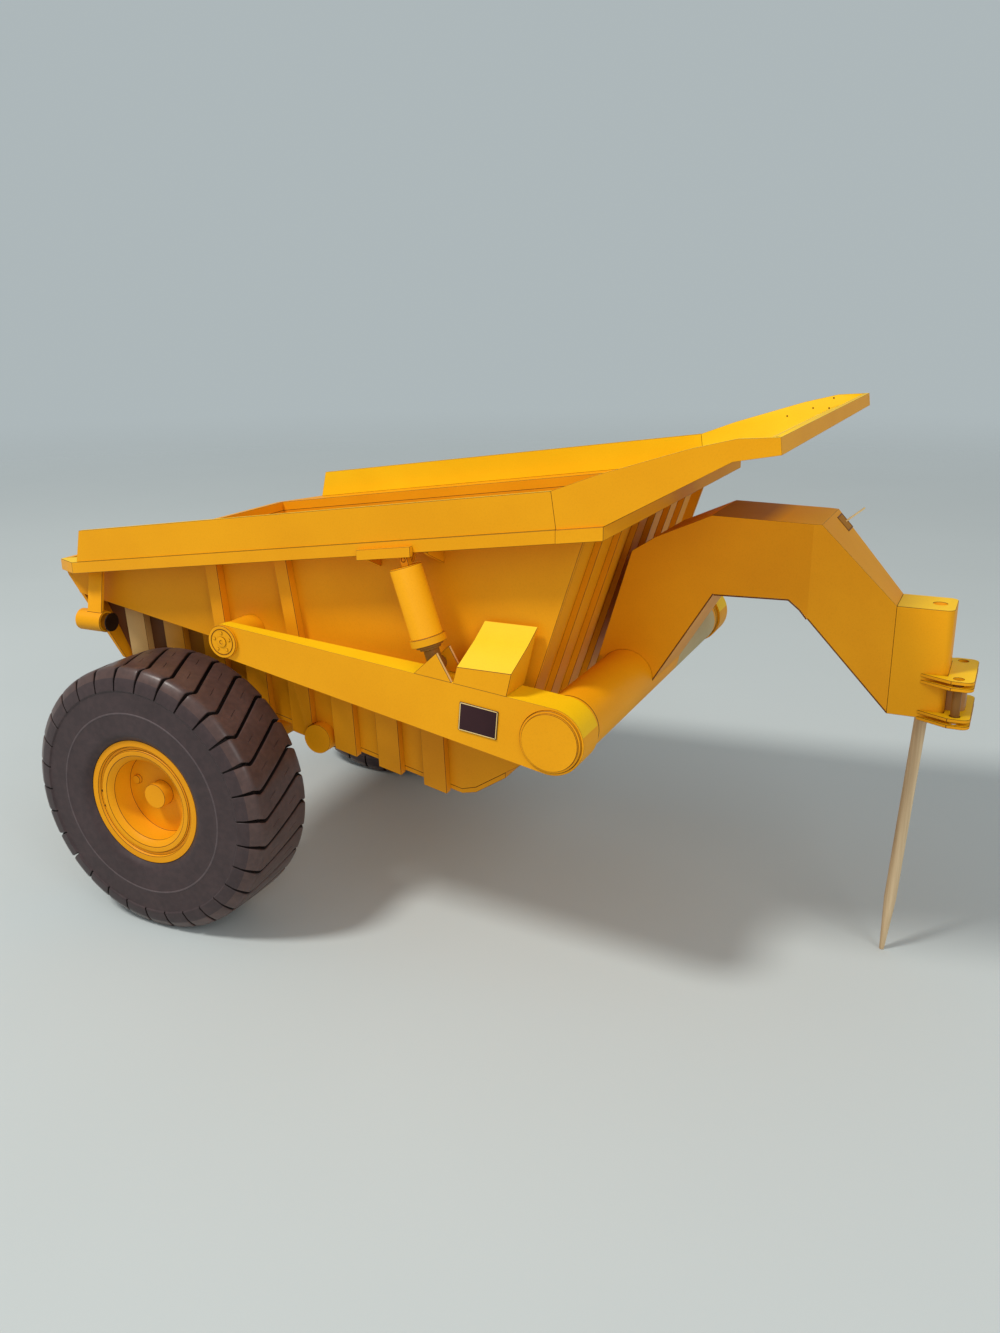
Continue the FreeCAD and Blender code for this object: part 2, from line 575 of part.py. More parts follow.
def draw_arm(sketch, rear, rear_radius, front, front_radius):
    """Outline of two round ends joined by their tangents."""
    ends = []
    for centre, radius, turn in ((rear, rear_radius, 90), (front, front_radius, -90)):
        place = FreeCAD.Vector(value_of(centre[0]), value_of(centre[1]), 0)
        circle = Part.Circle(place, FreeCAD.Vector(0, 0, 1), value_of(radius))
        start = radians(turn)
        ends.append(sketch.addGeometry(Part.ArcOfCircle(circle, start, start + pi), False))
        hold(sketch, ends[-1], 3, *centre)
        size = sketch.addConstraint(Sketcher.Constraint("Radius", ends[-1], value_of(radius)))
        bind(sketch, f"Constraints[{size}]", radius)
    back, nose = (sketch.Geometry[end] for end in ends)
    for first, first_point, second, second_point, line in (
            (ends[0], 1, ends[1], 2, Part.LineSegment(back.StartPoint, nose.EndPoint)),
            (ends[0], 2, ends[1], 1, Part.LineSegment(back.EndPoint, nose.StartPoint))):
        tangent = sketch.addGeometry(line, False)
        sketch.addConstraint(Sketcher.Constraint("Tangent", tangent, 1, first, first_point))
        sketch.addConstraint(Sketcher.Constraint("Tangent", tangent, 2, second, second_point))


def feature(body, kind, sketch, length, reverse=False):
    item = body.newObject(f"PartDesign::{kind}", f"{body.Label}_{kind.lower()}")
    item.Profile = sketch
    bind(item, "Length", length)
    item.Reversed = reverse
    sketch.Visibility = False
    return item


def plate(body, plane, points, start, length, **place):
    """Polygon padded along the plane's normal."""
    sketch = new_sketch(body, plane, start, **place)
    draw_polygon(sketch, points)
    return feature(body, "Pad", sketch, length)


def disc(body, plane, centre, radius, start, length):
    sketch = new_sketch(body, plane, start)
    draw_circle(sketch, *centre, radius)
    return feature(body, "Pad", sketch, length)


def cut(body, plane, loops, start, length, **place):
    """Polygons cut out along the plane's normal."""
    sketch = new_sketch(body, plane, start, **place)
    for points in loops:
        draw_polygon(sketch, points)
    return feature(body, "Pocket", sketch, length, reverse=True)


def bore(body, plane, centres, radius, start, length):
    sketch = new_sketch(body, plane, start)
    for centre in centres:
        draw_circle(sketch, *centre, radius)
    return feature(body, "Pocket", sketch, length, reverse=True)


def revolve(body, plane, points, rise="0", axis="H_Axis"):
    sketch = new_sketch(body, plane, rise=rise)
    draw_polygon(sketch, points)
    item = body.newObject("PartDesign::Revolution", f"{body.Label}_revolution")
    item.Profile = sketch
    item.ReferenceAxis = (sketch, [axis])
    item.Angle = 360
    return item


def repeat(body, item, axis, length, count):
    """Copies of a feature in a row along an origin axis."""
    pattern = body.newObject("PartDesign::LinearPattern", f"{body.Label}_row")
    pattern.Originals = [item]
    pattern.Direction = (origin_feature(body, axis), [""])
    bind(pattern, "Length", length)
    bind(pattern, "Occurrences", count)
    body.Tip = pattern
    return pattern


def span(side, inner, outer):
    """Start along the XZ plane's normal, which points to the near side, and length."""
    return (f"{inner}" if side < 0 else f"-({outer})", f"{outer} - ({inner})")


def across(half):
    """Start and length of a feature that is centred on the centre line."""
    return (f"-({half})", f"2 * ({half})")


def mirrored(side, points):
    """Points whose first coordinate is a distance from the centre line."""
    return [(f"{side} * ({y})", z) for y, z in points]


def plan(side, points):
    """Points whose second coordinate is a distance from the centre line."""
    return [(x, f"{side} * ({y})") for x, y in points]


X_AXIS = FreeCAD.Vector(1, 0, 0)
Y_AXIS = FreeCAD.Vector(0, 1, 0)


# Wheels

def tyre(name, side):
    """Many-sided tyre with a zigzag groove between each two lugs."""
    body = new_body(f"{name}_tyre")
    bind(body, "Placement.Base.y", f"{side} * wheel_place")
    bind(body, "Placement.Base.z", "wheel_radius")
    facet_prism(body, "AdditivePrism", "wheel_radius", "tyre_width")
    ring_pattern(body, [tyre_shoulder(body)], "tyre_facets")
    facet_prism(body, "SubtractivePrism", "bead_radius / cos(180 / tyre_facets)", "tyre_width + 2 * card")
    grooves = [tread_groove(body, side)]
    grooves += [shoulder_groove(body, side, edge) for edge in (1, -1)]
    ring_pattern(body, grooves, "lug_count")


def facet_prism(body, kind, radius, width):
    prism = body.newObject(f"PartDesign::{kind}", f"{body.Label}_prism")
    prism.AttachmentSupport = [(origin_feature(body, "XZ_Plane"), "")]
    prism.MapMode = "FlatFace"
    bind(prism, "AttachmentOffset.Base.z", f"-({width}) / 2")
    bind(prism, "Polygon", "tyre_facets")
    bind(prism, "Circumradius", radius)
    bind(prism, "Height", width)
    body.Tip = prism


def ring_pattern(body, originals, count):
    pattern = body.newObject("PartDesign::PolarPattern", f"{body.Label}_ring")
    pattern.Originals = originals
    pattern.Axis = (origin_feature(body, "Y_Axis"), [""])
    pattern.Angle = 360
    bind(pattern, "Occurrences", count)
    body.Tip = pattern


def tyre_shoulder(body):
    """What one facet loses at the shoulder and the upper side, at both ends."""
    loops = []
    for edge in (1, -1):
        loops.append((
            (f"{edge} * tread_half", "wheel_radius"),
            (f"{edge} * (tyre_width / 2 - side_bulge)", "wheel_radius - shoulder_drop"),
            (f"{edge} * tyre_width / 2", "side_radius"),
            (f"{edge} * tyre_width", "side_radius"),
            (f"{edge} * tyre_width", "wheel_radius + shoulder_drop"),
            (f"{edge} * tread_half", "wheel_radius + shoulder_drop"),
        ))
    return cut(body, "YZ_Plane", loops, *across("wheel_radius * tan(180 / tyre_facets)"))


def tread_groove(body, side):
    """Across the middle at a slant, straight across the shoulders."""
    bend = "groove_skew / 2"
    centre = ((f"-({bend})", "-tyre_width"), (f"-({bend})", "-groove_end"),
              (bend, "groove_end"), (bend, "tyre_width"))
    rear = [(f"{x} - groove_width / 2", f"{side} * ({y})") for x, y in centre]
    front = [(f"{x} + groove_width / 2", f"{side} * ({y})") for x, y in reversed(centre)]
    return cut(body, "XY_Plane", [rear + front], "wheel_radius - groove_depth", "2 * groove_depth")


def shoulder_groove(body, side, edge):
    """The groove's run down one shoulder."""
    x = f"({side * edge} * groove_skew / 2)"
    inner = f"{edge} * (tyre_width / 2 - side_bulge - groove_side)"
    notch = (
        (f"{x} - groove_width / 2", inner),
        (f"{x} + groove_width / 2", inner),
        (f"{x} + groove_width / 2", f"{edge} * tyre_width"),
        (f"{x} - groove_width / 2", f"{edge} * tyre_width"),
    )
    return cut(body, "XY_Plane", [notch], "wheel_radius - groove_run", "groove_run + groove_depth")


def rim(name, side):
    """Rim with its outer flange, second ring, gutter, wheel disc and hub, drawn from the outside inwards."""
    body = new_body(f"{name}_rim")
    face = "(wheel_place + tyre_width / 2 - rim_inset)"
    disc_face = f"({face} - well_depth)"
    back = "(wheel_place - tyre_width / 2 + rim_inner_inset)"
    radius = "(bead_radius - glue_gap)"
    shape = (
        (back, radius),
        (face, radius),
        (face, f"{radius} - rim_ring"),
        (f"{face} - 0.8", f"{radius} - rim_ring - 0.2"),
        (f"{face} - 0.8", f"{radius} - rim_ring - 1.0"),
        (f"{face} - 0.3", f"{radius} - rim_ring - 1.2"),
        (f"{face} - 0.3", "well_radius + 1.6"),
        (f"{face} - 1.6", "well_radius"),
        (disc_face, "well_radius"),
        (disc_face, "hub_radius"),
        (f"{disc_face} + hub_height", "hub_radius"),
        (f"{disc_face} + hub_height", "0"),
        (f"{disc_face} - disc_card / 2", "0"),
        (f"{disc_face} - disc_card / 2", "spindle_radius + running_gap"),
        (f"{disc_face} - disc_card - hub_sleeve_length", "spindle_radius + running_gap"),
        (f"{disc_face} - disc_card - hub_sleeve_length", "hub_sleeve_radius"),
        (f"{disc_face} - disc_card", "hub_sleeve_radius"),
        (f"{disc_face} - disc_card", f"{radius} - rim_shell"),
        (back, f"{radius} - rim_shell"),
    )
    points = [(f"{side} * ({y})", r) for y, r in shape]
    revolve(body, "YZ_Plane", points, rise="wheel_radius")
    boss = ("-disc_boss_back", "wheel_radius + disc_boss_rise")
    reach = span(side, f"{disc_face} - disc_card / 2", f"{disc_face} + disc_boss_height")
    disc(body, "XZ_Plane", boss, "disc_boss_radius", *reach)


def axle_beam():
    body = new_body("axle_beam")
    centre = ("0", "wheel_radius")
    spindle_end = "wheel_place + tyre_width / 2 - rim_inset - well_depth - disc_card / 2 - glue_gap"
    disc(body, "XZ_Plane", centre, "axle_radius", *across("axle_half"))
    disc(body, "XZ_Plane", centre, "spindle_radius", *across(spindle_end))
    for side in SIDES.values():
        foot = (
            ("-hanger_half", belly("-hanger_half")),
            ("hanger_half", belly("hanger_half")),
            ("axle_radius", "wheel_radius"),
            ("-axle_radius", "wheel_radius"),
        )
        plate(body, "XZ_Plane", foot, *span(side, "hanger_place", "hanger_place + hanger_card"))


# Hull

def tail_plate():
    body = new_body("tail_plate")
    strip = (
        ("tail_foot_x", belly_top("tail_foot_x")),
        ("tail_top_x", rail_low("tail_top_x")),
        (f"tail_top_x + {TAIL_RUN}", rail_low(f"tail_top_x + {TAIL_RUN}")),
        (f"tail_foot_x + {TAIL_RUN}", belly_top(f"tail_foot_x + {TAIL_RUN}")),
    )
    plate(body, "XZ_Plane", strip, *across("wall_place"))
    low = "(tail_foot_z - card)"
    outside = (
        ("tail_foot_half", low),
        ("wall_place", "tail_taper_z"),
        ("wall_place + card", "tail_taper_z"),
        ("wall_place + card", low),
    )
    loops = [mirrored(side, outside) for side in SIDES.values()]
    cut(body, "YZ_Plane", loops, "tail_top_x - card", "tail_foot_x - tail_top_x + 4 * card")


def belly_plate():
    body = new_body("belly_plate")
    strip = (
        ("tail_foot_x", "tail_foot_z"),
        ("belly_front_x", "belly_front_z"),
        ("nose_x", "nose_z"),
        ("front_foot_x", "front_foot_z"),
        ("front_foot_x", nose_top("front_foot_x")),
        ("nose_x", nose_top("nose_x")),
        ("belly_front_x", belly_top("belly_front_x")),
        ("tail_foot_x", belly_top("tail_foot_x")),
    )
    widest = low_wall(belly_top("tail_foot_x"))
    plate(body, "XZ_Plane", strip, *across(widest))
    outside = (
        ("tail_foot_x", widest),
        ("belly_front_x", low_wall(belly_top("belly_front_x"))),
        ("front_foot_x + card", low_wall(nose_top("front_foot_x"))),
        ("front_foot_x + card", "wall_place"),
        ("tail_foot_x", "wall_place"),
    )
    loops = [plan(side, outside) for side in SIDES.values()]
    cut(body, "XY_Plane", loops, "belly_front_z - card", "tail_foot_z - belly_front_z + 4 * card")


def front_wall():
    body = new_body("front_wall")
    inner_foot = f"(front_foot_x - card * {FRONT_RUN})"
    inner_top = f"(front_top_x - card * {FRONT_RUN})"
    strip = (
        ("front_foot_x", nose_top("front_foot_x")),
        ("front_top_x", rail_low("front_top_x")),
        (inner_top, rail_low(inner_top)),
        (inner_foot, nose_top(inner_foot)),
    )
    plate(body, "XZ_Plane", strip, *across("wall_place - card"))
    low = "nose_z"
    shelf = fold(f"({front_x('fold_front_z')} - card * {FRONT_RUN})")
    outside = (
        (f"{low_wall(low)} - card * {WALL_LENGTHEN}", low),
        (f"{low_wall(shelf)} - card * {WALL_LENGTHEN}", shelf),
        ("wall_place + card", shelf),
        ("wall_place + card", low),
    )
    loops = [mirrored(side, outside) for side in SIDES.values()]
    cut(body, "YZ_Plane", loops, "nose_x", "front_top_x - nose_x")


def wall_turn(side):
    """Lean of the lower wall as a turn of its sketch."""
    return (X_AXIS, f"{-side} * atan({WALL_SLOPE})")


def wall_points(points):
    """Side view points as lengths along the leaning lower wall."""
    return [(x, f"({z}) * {WALL_LENGTHEN}") for x, z in points]


def wall_start(side):
    return f"{-side} * {low_wall('0')}"


def bowl_side(name, side):
    """Upper wall, shelf and leaning lower wall, folded from one sheet."""
    body = new_body(f"{name}_bowl_side")
    corner_top = "front_top_x + corner_flange"
    upper = (
        (tail_x("fold_tail_z"), "fold_tail_z - card"),
        ("tail_top_x", rail_low("tail_top_x")),
        (corner_top, rail_low(corner_top)),
        (corner_x("fold_front_z - card"), "fold_front_z - card"),
    )
    plate(body, "XZ_Plane", upper, *span(side, "wall_place - card", "wall_place"))
    inner_tail = f"({low_wall('fold_tail_z')} - card / 2)"
    inner_front = f"({low_wall('fold_front_z')} - card / 2)"
    shelf = (
        (f"{tail_x('fold_tail_z')} * {FOLD_LENGTHEN}", inner_tail),
        (f"{tail_x('fold_tail_z')} * {FOLD_LENGTHEN}", "wall_place"),
        (f"{corner_x('fold_front_z - card')} * {FOLD_LENGTHEN}", "wall_place"),
        (f"{corner_x('fold_front_z - card')} * {FOLD_LENGTHEN}", inner_front),
    )
    turn = (Y_AXIS, f"atan({FOLD_SLOPE})")
    start = f"{fold('0')} - card * {FOLD_LENGTHEN}"
    plate(body, "XY_Plane", plan(side, shelf), start, "card", turn=turn)
    lower = wall_points((
        ("tail_foot_x", belly_top("tail_foot_x")),
        (tail_x("fold_tail_z"), "fold_tail_z - card / 2"),
        (corner_x("fold_front_z"), "fold_front_z - card / 2"),
        (CORNER_LOW_X, nose_top(CORNER_LOW_X)),
        ("nose_x", nose_top("nose_x")),
        ("belly_front_x", belly_top("belly_front_x")),
    ))
    sketch = new_sketch(body, "XZ_Plane", wall_start(side), turn=wall_turn(side))
    draw_polygon(sketch, lower)
    feature(body, "Pad", sketch, "card", reverse=side < 0)
    low = "(tail_foot_z - card)"
    high = "(fold_tail_z + rail_rear_z)"
    behind = (
        (tail_inside(low), low),
        (tail_inside(high), high),
        (f"{tail_x(high)} - card", high),
        (f"{tail_x(high)} - card", low),
    )
    cut(body, "XZ_Plane", [behind], *span(side, "low_wall_place - 2 * card", "wall_place + card"))


def low_ribs(name, side):
    """Folded channels on the lower wall, open at the back and below."""
    body = new_body(f"{name}_low_ribs")
    last = "(low_rib_x + low_rib_pitch * (low_rib_count - 1) + low_rib_width)"
    strip = wall_points((
        ("low_rib_x", f"{belly('low_rib_x')} - low_rib_drop"),
        ("low_rib_x", f"{fold('low_rib_x')} - card * {FOLD_LENGTHEN}"),
        (last, f"{fold(last)} - card * {FOLD_LENGTHEN}"),
        (last, f"{belly(last)} - low_rib_drop"),
    ))
    turn = wall_turn(side)
    sketch = new_sketch(body, "XZ_Plane", wall_start(side), turn=turn)
    draw_polygon(sketch, strip)
    feature(body, "Pad", sketch, "low_rib_depth", reverse=side > 0)
    low = "belly_front_z - 2 * card"
    high = "fold_tail_z + card"

    def slots(left, right, depth, count):
        loop = wall_points(((left, low), (left, high), (right, high), (right, low)))
        outline = new_sketch(body, "XZ_Plane", wall_start(side), turn=turn)
        draw_polygon(outline, loop)
        slot = feature(body, "Pocket", outline, depth, reverse=side < 0)
        repeat(body, slot, "X_Axis", f"low_rib_pitch * ({count} - 1)", count)

    slots("low_rib_x + low_rib_width", "low_rib_x + low_rib_pitch", "low_rib_depth + card", "low_rib_count - 1")
    inner_left = "low_rib_x + fold_card"
    inner_right = "low_rib_x + low_rib_width - fold_card"
    slots(inner_left, inner_right, "low_rib_depth - fold_card", "low_rib_count")
    centre = (("cross_tube_x", "cross_tube_z"),)
    hole = "cross_tube_radius + glue_gap"
    bore(body, "XZ_Plane", centre, hole, *span(side, "low_wall_place - card", "wall_place"))


def side_ribs(name, side):
    body = new_body(f"{name}_side_ribs")
    for rib in ("one", "two"):
        top = f"side_rib_{rib}_top_x"
        low = f"side_rib_{rib}_low_x"
        points = (
            (low, fold(low)),
            (top, rail_low(top)),
            (f"{top} + side_rib_width", rail_low(f"{top} + side_rib_width")),
            (f"{low} + side_rib_width", fold(f"{low} + side_rib_width")),
        )
        plate(body, "XZ_Plane", points, *span(side, "wall_place", "wall_place + side_rib_depth"))


def front_ribs():
    """Seven upright ribs on the front wall, the outermost ones ending above the shelf."""
    body = new_body("front_ribs")
    run = f"front_rib_depth * {FRONT_RUN}"
    low = "front_rib_low_z"
    outer_top = f"(front_top_x + {run})"
    strip = (
        (front_x(low), low),
        ("front_top_x", rail_low("front_top_x")),
        (outer_top, rail_low(outer_top)),
        (f"{front_x(low)} + {run}", low),
    )
    plate(body, "XZ_Plane", strip, *across("3 * front_rib_pitch + front_rib_width / 2"))
    left = "-3 * front_rib_pitch + front_rib_width / 2"
    right = "-2 * front_rib_pitch - front_rib_width / 2"
    top = "rail_front_z + rail_height"
    gap = ((left, low), (right, low), (right, top), (left, top))
    start = front_x(low)
    depth = f"front_top_x + 2 * {run} - {start}"
    slot = cut(body, "YZ_Plane", [gap], start, depth)
    repeat(body, slot, "Y_Axis", "5 * front_rib_pitch", "6")
    ends = (
        ("3 * front_rib_pitch - front_rib_width", low),
        ("wall_place", low),
        ("wall_place", "fold_front_z + card"),
        ("3 * front_rib_pitch - front_rib_width", "fold_front_z + card"),
    )
    cut(body, "YZ_Plane", [mirrored(side, ends) for side in SIDES.values()], start, depth)


def cross_tube():
    """Tube let into the belly, with its ends standing out of the lower walls."""
    body = new_body("cross_tube")
    disc(body, "XZ_Plane", ("cross_tube_x", "cross_tube_z"), "cross_tube_radius", *across("cross_tube_half"))
    left = "(cross_tube_x - 2 * cross_tube_radius)"
    right = "(cross_tube_x + 2 * cross_tube_radius)"
    top = "(cross_tube_z + 2 * cross_tube_radius)"
    above = ((left, belly(left)), (right, belly(right)), (right, top), (left, top))
    cut(body, "XZ_Plane", [above], *across(low_wall("cross_tube_z + cross_tube_radius")))


# Rails, boards and canopy

def side_rail(name, side):
    body = new_body(f"{name}_rail")
    points = (
        ("rail_rear_x", "rail_rear_z"),
        ("header_x", rail_low("header_x")),
        ("header_x", rail_top("header_x")),
        ("rail_rear_x", rail_top("rail_rear_x")),
    )
    plate(body, "XZ_Plane", points, *span(side, "wall_place - card", "rail_outer"))
    corner = (
        ("rail_corner_x", "rail_outer"),
        ("rail_rear_x", "rail_corner_place"),
        ("rail_rear_x - card", "rail_corner_place"),
        ("rail_rear_x - card", "rail_outer + card"),
        ("rail_corner_x", "rail_outer + card"),
    )
    cut(body, "XY_Plane", [plan(side, corner)], "rail_rear_z - card", "3 * rail_height + card")


def tail_bar():
    body = new_body("tail_bar")
    front = f"(tail_top_x + {TAIL_RUN})"
    points = (
        ("rail_rear_x", "rail_rear_z"),
        (front, rail_low(front)),
        (front, rail_top(front)),
        ("rail_rear_x", rail_top("rail_rear_x")),
    )
    plate(body, "XZ_Plane", points, *across("wall_place - card"))


def header_bar():
    body = new_body("header_bar")
    points = (
        ("header_x", rail_low("header_x")),
        ("rail_front_x", "rail_front_z"),
        ("rail_front_x", rail_top("rail_front_x")),
        ("header_x", rail_top("header_x")),
    )
    plate(body, "XZ_Plane", points, *across("header_half"))


def side_board(name, side):
    body = new_body(f"{name}_board")
    rear_top = "(board_rear_x + board_rear_rake)"
    front_top = "(header_x - board_front_rake)"
    points = (
        ("board_rear_x", rail_top("board_rear_x")),
        ("header_x", rail_top("header_x")),
        (front_top, f"{rail_top(front_top)} + board_height"),
        (rear_top, f"{rail_top(rear_top)} + board_height"),
    )
    plate(body, "XZ_Plane", points, *span(side, "board_place - card", "board_place"))


def canopy():
    """Tray over the gooseneck: bent floor, front lip and two sides."""
    body = new_body("canopy")
    floor = (
        ("header_x", rail_top("header_x")),
        ("rail_front_x", rail_top("rail_front_x")),
        ("canopy_bend_x", "canopy_bend_z"),
        ("canopy_front_x", "canopy_front_z"),
        ("canopy_top_x", "canopy_top_z"),
        ("canopy_top_x - card", "canopy_top_z"),
        ("canopy_front_x - card", "canopy_front_z + card"),
        ("canopy_bend_x", "canopy_bend_z + card"),
        ("rail_front_x - card / 2", f"{rail_top('rail_front_x')} + card"),
        ("header_x", f"{rail_top('header_x')} + card"),
    )
    plate(body, "XZ_Plane", floor, *across("board_place - card"))
    front_top = "(header_x - board_front_rake)"
    one = "(rail_front_x - canopy_one_back)"
    two = "(canopy_bend_x - canopy_two_back)"
    three = "(canopy_bend_x + canopy_three_ahead)"
    slope = on_line(two, "rail_front_x", rail_top("rail_front_x"), "canopy_bend_x", "canopy_bend_z")
    brow = on_line(three, "canopy_bend_x", "canopy_bend_z", "canopy_front_x", "canopy_front_z")
    sides = (
        ("header_x", rail_top("header_x")),
        (front_top, f"{rail_top(front_top)} + board_height"),
        (one, f"{rail_top(one)} + canopy_one_height"),
        (two, f"{slope} + canopy_two_height"),
        (three, f"{brow} + canopy_three_height"),
        ("canopy_top_x", "canopy_top_z"),
        ("canopy_front_x", "canopy_front_z"),
        ("canopy_bend_x", "canopy_bend_z"),
        ("rail_front_x", rail_top("rail_front_x")),
    )
    for side in SIDES.values():
        plate(body, "XZ_Plane", sides, *span(side, "board_place - card", "board_place"))


# Fittings on the bowl

def pivot_boss(name, side):
    body = new_body(f"{name}_pivot_boss")
    centre = ("pivot_x", "pivot_z")
    reach = span(side, "wall_place", "boss_outer")
    disc(body, "XZ_Plane", centre, "boss_radius", *reach)
    bore(body, "XZ_Plane", (centre,), "pivot_pin_radius + running_gap", *reach)


def tail_lamp(name, side):
    body = new_body(f"{name}_lamp_tube")
    centre = (f"{side} * lamp_place", "lamp_z")
    disc(body, "YZ_Plane", centre, "lamp_radius", "lamp_rear_x", "lamp_front_x - lamp_rear_x")
    hanger = (
        ("hanger_low_x", "lamp_z + lamp_radius / 2"),
        ("hanger_top_x", rail_low("hanger_top_x")),
        ("hanger_top_x + lamp_hanger_width", rail_low("hanger_top_x + lamp_hanger_width")),
        ("hanger_low_x + lamp_hanger_width", "lamp_z + lamp_radius / 2"),
    )
    plate(body, "XZ_Plane", hanger, *span(side, "lamp_place + 0.4", "lamp_place + 0.4 + ear_card"))
    start = "lamp_rear_x + lamp_end_card"
    bore(body, "YZ_Plane", (centre,), "lamp_bore", start, f"lamp_front_x - ({start})")


def hoist_bracket(name, side):
    """Pad on the rail, two gussets, and the lug plate with the hoist pin."""
    body = new_body(f"{name}_hoist_bracket")
    pad = (
        ("pad_rear_x", f"{rail_low('pad_rear_x')} - pad_drop"),
        ("pad_front_x", f"{rail_low('pad_front_x')} - pad_drop"),
        ("pad_front_x", f"{rail_low('pad_front_x')} + pad_reach"),
        ("pad_rear_x", f"{rail_low('pad_rear_x')} + pad_reach"),
    )
    plate(body, "XZ_Plane", pad, *span(side, "rail_outer", "rail_outer + pad_card"))
    for start in ("pad_rear_x", "gusset_front_x"):
        top = rail_low(start)
        gusset = (
            ("wall_place", top),
            ("rail_outer + pad_card" if start == "pad_rear_x" else "rail_outer", top),
            ("rail_outer - card", f"{top} - pad_drop"),
            ("wall_place", f"{top} - gusset_drop"),
        )
        plate(body, "YZ_Plane", mirrored(side, gusset), start, "ear_card")
    ear = (
        ("head_x - 2 * head_eye_radius", rail_low("head_x - 2 * head_eye_radius")),
        ("head_x + 2 * head_eye_radius", rail_low("head_x + 2 * head_eye_radius")),
        ("head_x + head_eye_radius", "head_z - head_eye_radius"),
        ("head_x - head_eye_radius", "head_z - head_eye_radius"),
    )
    plate(body, "XZ_Plane", ear, *span(side, "head_ear_outer - head_ear_card", "head_ear_outer"))
    reach = span(side, "head_ear_outer", "head_eye_outer")
    disc(body, "XZ_Plane", ("head_x", "head_z"), "head_pin_radius", *reach)


# Draft frame

def draft_tube():
    body = new_body("draft_tube")
    centre = ("tube_x", "tube_z")
    disc(body, "XZ_Plane", centre, "tube_radius", *across("tube_half"))
    disc(body, "XZ_Plane", centre, "tube_cap_radius", *across("tube_half + tube_cap_card"))


def draft_arm(name, side):
    body = new_body(f"{name}_draft_arm")
    reach = span(side, "arm_inner_front", "arm_outer")
    sketch = new_sketch(body, "XZ_Plane", reach[0])
    draw_arm(sketch, ("pivot_x", "pivot_z"), "arm_rear_radius", ("tube_x", "tube_z"), "arm_front_radius")
    feature(body, "Pad", sketch, reach[1])
    rear = "(pivot_x - 2 * arm_rear_radius)"
    inside = "(arm_inner_front - card)"
    end = on_line(inside, "arm_inner_rear", "pivot_x", "arm_inner_front", "arm_taper_x")
    taper = (
        (rear, inside),
        (rear, on_line(rear, "pivot_x", "arm_inner_rear", "arm_taper_x", "arm_inner_front")),
        (end, inside),
    )
    low = "tube_z - 2 * arm_front_radius"
    cut(body, "XY_Plane", [plan(side, taper)], low, f"pivot_z + 2 * arm_rear_radius - ({low})")
    bore(body, "XZ_Plane", (("pivot_x", "pivot_z"),), "pivot_pin_radius + glue_gap / 2", *reach)
    bore(body, "XZ_Plane", (("tube_x", "tube_z"),), "tube_radius + glue_gap", *reach)


def pivot_pin(name, side):
    body = new_body(f"{name}_pivot_pin")
    centre = ("pivot_x", "pivot_z")
    disc(body, "XZ_Plane", centre, "pivot_pin_radius", *span(side, "pin_inner", "arm_outer"))
    disc(body, "XZ_Plane", centre, "pivot_cap_radius", *span(side, "arm_outer", "arm_outer + pivot_cap_card"))


def arm_box(name, side):
    body = new_body(f"{name}_arm_box")
    lean = f"box_lean * (box_top_z - {arm_top('box_rear_x')})"
    outline = (
        ("box_rear_x", arm_top("box_rear_x")),
        ("box_front_x", arm_top("box_front_x")),
        (f"box_front_x + {lean}", "box_top_z"),
        (f"box_rear_x + {lean}", "box_top_z"),
    )
    plate(body, "XZ_Plane", outline, *span(side, "box_inner", "arm_outer"))
    above = (
        ("arm_outer + card", "box_eave_z"),
        ("arm_outer", "box_eave_z"),
        ("box_ridge_place", "box_ridge_z"),
        ("box_inner", "box_top_z"),
        ("box_inner", "box_top_z + card"),
        ("arm_outer + card", "box_top_z + card"),
    )
    length = "box_front_x - box_rear_x + 2 * arm_front_radius"
    cut(body, "YZ_Plane", [mirrored(side, above)], "box_rear_x - card", length)


def data_plate():
    body = new_body("data_plate")
    points = (
        ("plate_x", "plate_z"),
        ("plate_x + plate_length", "plate_z - plate_fall"),
        ("plate_x + plate_length + plate_lean", "plate_z - plate_fall + plate_height"),
        ("plate_x + plate_lean", "plate_z + plate_height"),
    )
    plate(body, "XZ_Plane", points, *span(-1, "arm_outer", "arm_outer + plate_card"))


def foot_bracket(name, side):
    """Two lug plates on the arm, with the rod's eye between them."""
    body = new_body(f"{name}_foot_bracket")
    points = (
        ("ear_rear_x", arm_top("ear_rear_x")),
        ("ear_top_x", "ear_top_z"),
        ("ear_front_x", arm_top("ear_front_x")),
    )
    plate(body, "XZ_Plane", points, *span(side, "space_outer", "arm_outer"))
    plate(body, "XZ_Plane", points, *span(side, "space_inner - ear_card", "space_inner"))


